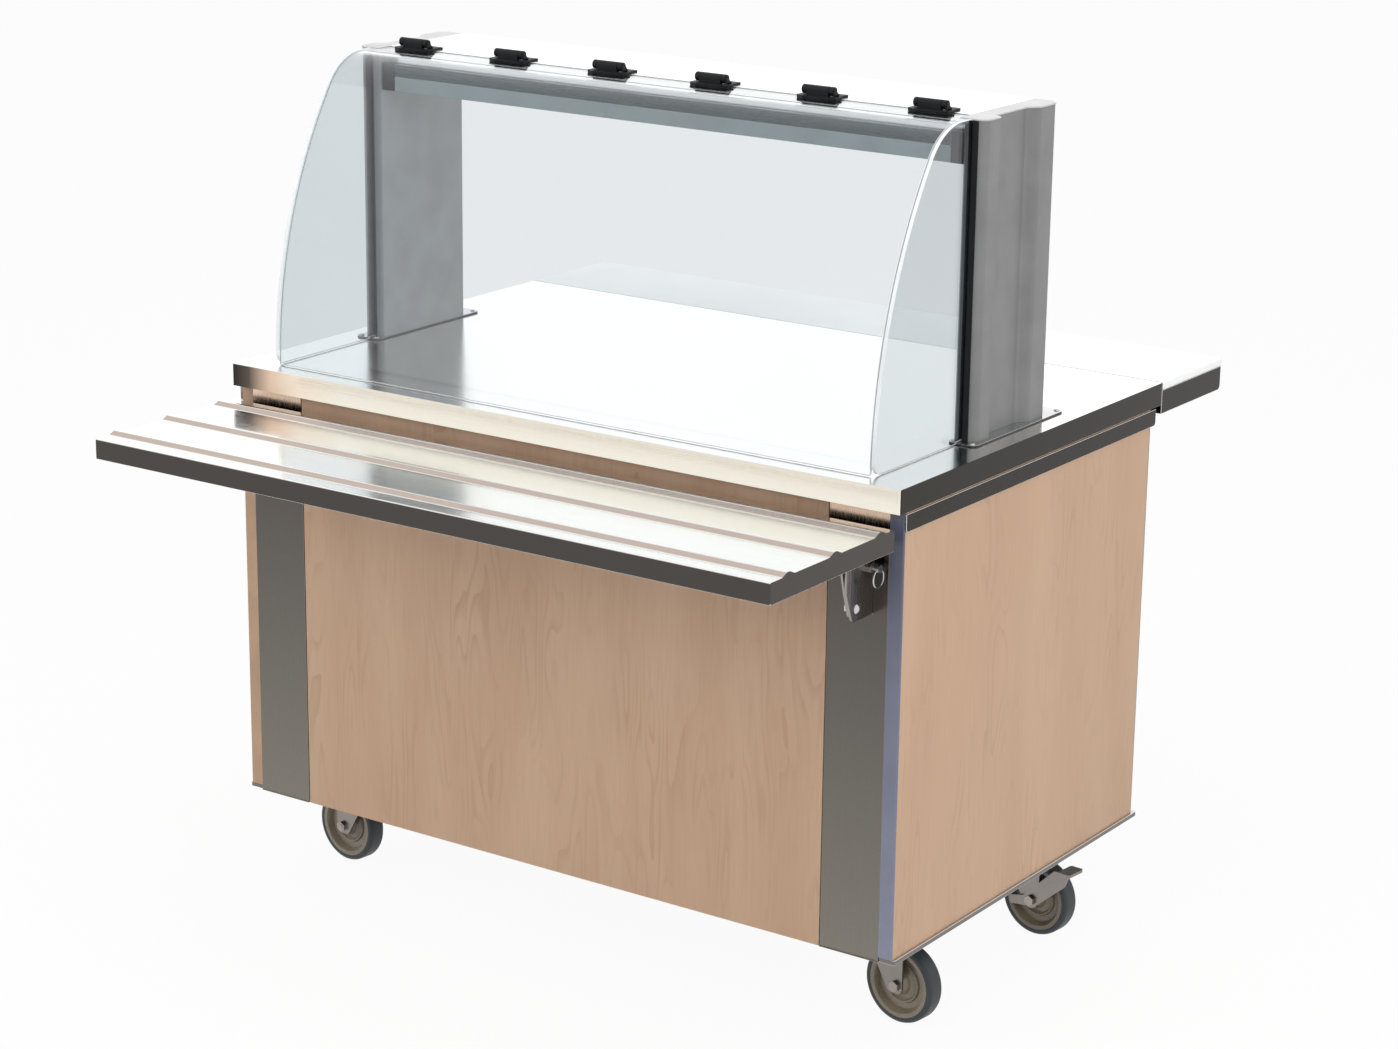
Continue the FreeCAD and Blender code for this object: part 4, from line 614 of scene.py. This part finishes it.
# radius and distance from the wheel's middle plane, from the bore outwards
tyre_section = [(54.5, 15.5), (57.5, 16.0), (60.5, 15.0), (62.5, 13.0), (63.5, 10.0)]
hub_section = [(5.05, 18.5), (12.5, 18.5), (15.0, 16.0), (19.0, 8.0), (27.75, 4.0),
               (29.75, 7.0), (31.75, 7.0), (33.75, 4.0), (42.5, 4.0), (46.5, 13.5),
               (48.0, 15.0), (54.5, 15.0)]
joints = {joint["name"]: joint for joint in behaviour["joints"]}
for corner in CORNERS:
    for part, section, finish in (("tyre_", tyre_section, "tyre"),
                                  ("wheel_hub_", hub_section, "hub")):
        node = part + corner
        shape = turned(node, joints["roll_" + corner], section)
        finished(node + "_turned", shape, body_of[node], finish, [node], smooth=32.0)

# ------------------------------------------------------------------ floor and light

FLOOR_REACH = 40.0
FLOOR_WHITE = 0.94
ROOM_LIGHT = 0.62

floor_mesh = bpy.data.meshes.new("floor")
floor_bm = bmesh.new()
bmesh.ops.create_grid(floor_bm, x_segments=1, y_segments=1, size=FLOOR_REACH)
floor_bm.to_mesh(floor_mesh)
floor_bm.free()
floor = bpy.data.objects.new("floor", floor_mesh)
scene.collection.objects.link(floor)

# Matt white studio floor: white to the eye and in reflections, with a faint contact shadow.
floor_material, floor_tree, floor_shader = new_material("white studio floor", Roughness=0.9)
floor_shader.inputs["Base Color"].default_value = linear("E8E8E8")
share = add(floor_tree, "ShaderNodeMath", {0: seen_directly(floor_tree), 1: FLOOR_WHITE},
            operation="MULTIPLY")
white = add(floor_tree, "ShaderNodeEmission", {"Color": linear("FFFFFF"), "Strength": 1.0})
floor_mix = add(floor_tree, "ShaderNodeMixShader",
                {0: share.outputs[0], 1: floor_shader.outputs[0], 2: white.outputs[0]})
floor_tree.links.new(floor_mix.outputs[0], surface_output(floor_tree))
floor_mesh.materials.append(floor_material)

# White studio walls: 1 to the eye and in reflections, less as light on the object.
world = bpy.data.worlds.new("studio")
scene.world = world
world.use_nodes = True
sky = world.node_tree
sky.nodes.clear()
level = add(sky, "ShaderNodeMapRange",
            {"Value": seen_directly(sky), "To Min": ROOM_LIGHT, "To Max": 1.0})
glow = add(sky, "ShaderNodeBackground", {"Color": linear("FFFFFF"), "Strength": level.outputs[0]})
add(sky, "ShaderNodeOutputWorld", {"Surface": glow.outputs[0]})


def softbox(name, place, target, size, watts, mirrored=False):
    """A soft lamp; only the one behind the object shows in its bright sheet metal."""
    lamp = bpy.data.lights.new(name, "AREA")
    lamp.shape = "RECTANGLE"
    lamp.size, lamp.size_y = size
    lamp.energy = watts
    obj = bpy.data.objects.new(name, lamp)
    scene.collection.objects.link(obj)
    aim = (Vector(target) - Vector(place)).to_track_quat("-Z", "Y")
    obj.matrix_world = Matrix.Translation(place) @ aim.to_matrix().to_4x4()
    obj.visible_glossy = mirrored
    obj.visible_transmission = mirrored


softbox("softbox_over", (0.6, -0.8, 4.2), (0.0, 0.0, 0.9), (3.2, 2.6), 55.0)
softbox("softbox_right", (4.6, -1.2, 2.6), (0.3, 0.0, 0.6), (2.4, 2.4), 62.0)
softbox("softbox_left", (-3.2, -4.2, 2.6), (0.0, -0.2, 0.6), (2.4, 2.4), 78.0)
softbox("softbox_behind", (-2.6, 3.8, 2.4), (0.0, 0.0, 0.9), (4.6, 2.4), 12.0, True)

scene.view_settings.view_transform = "Standard"
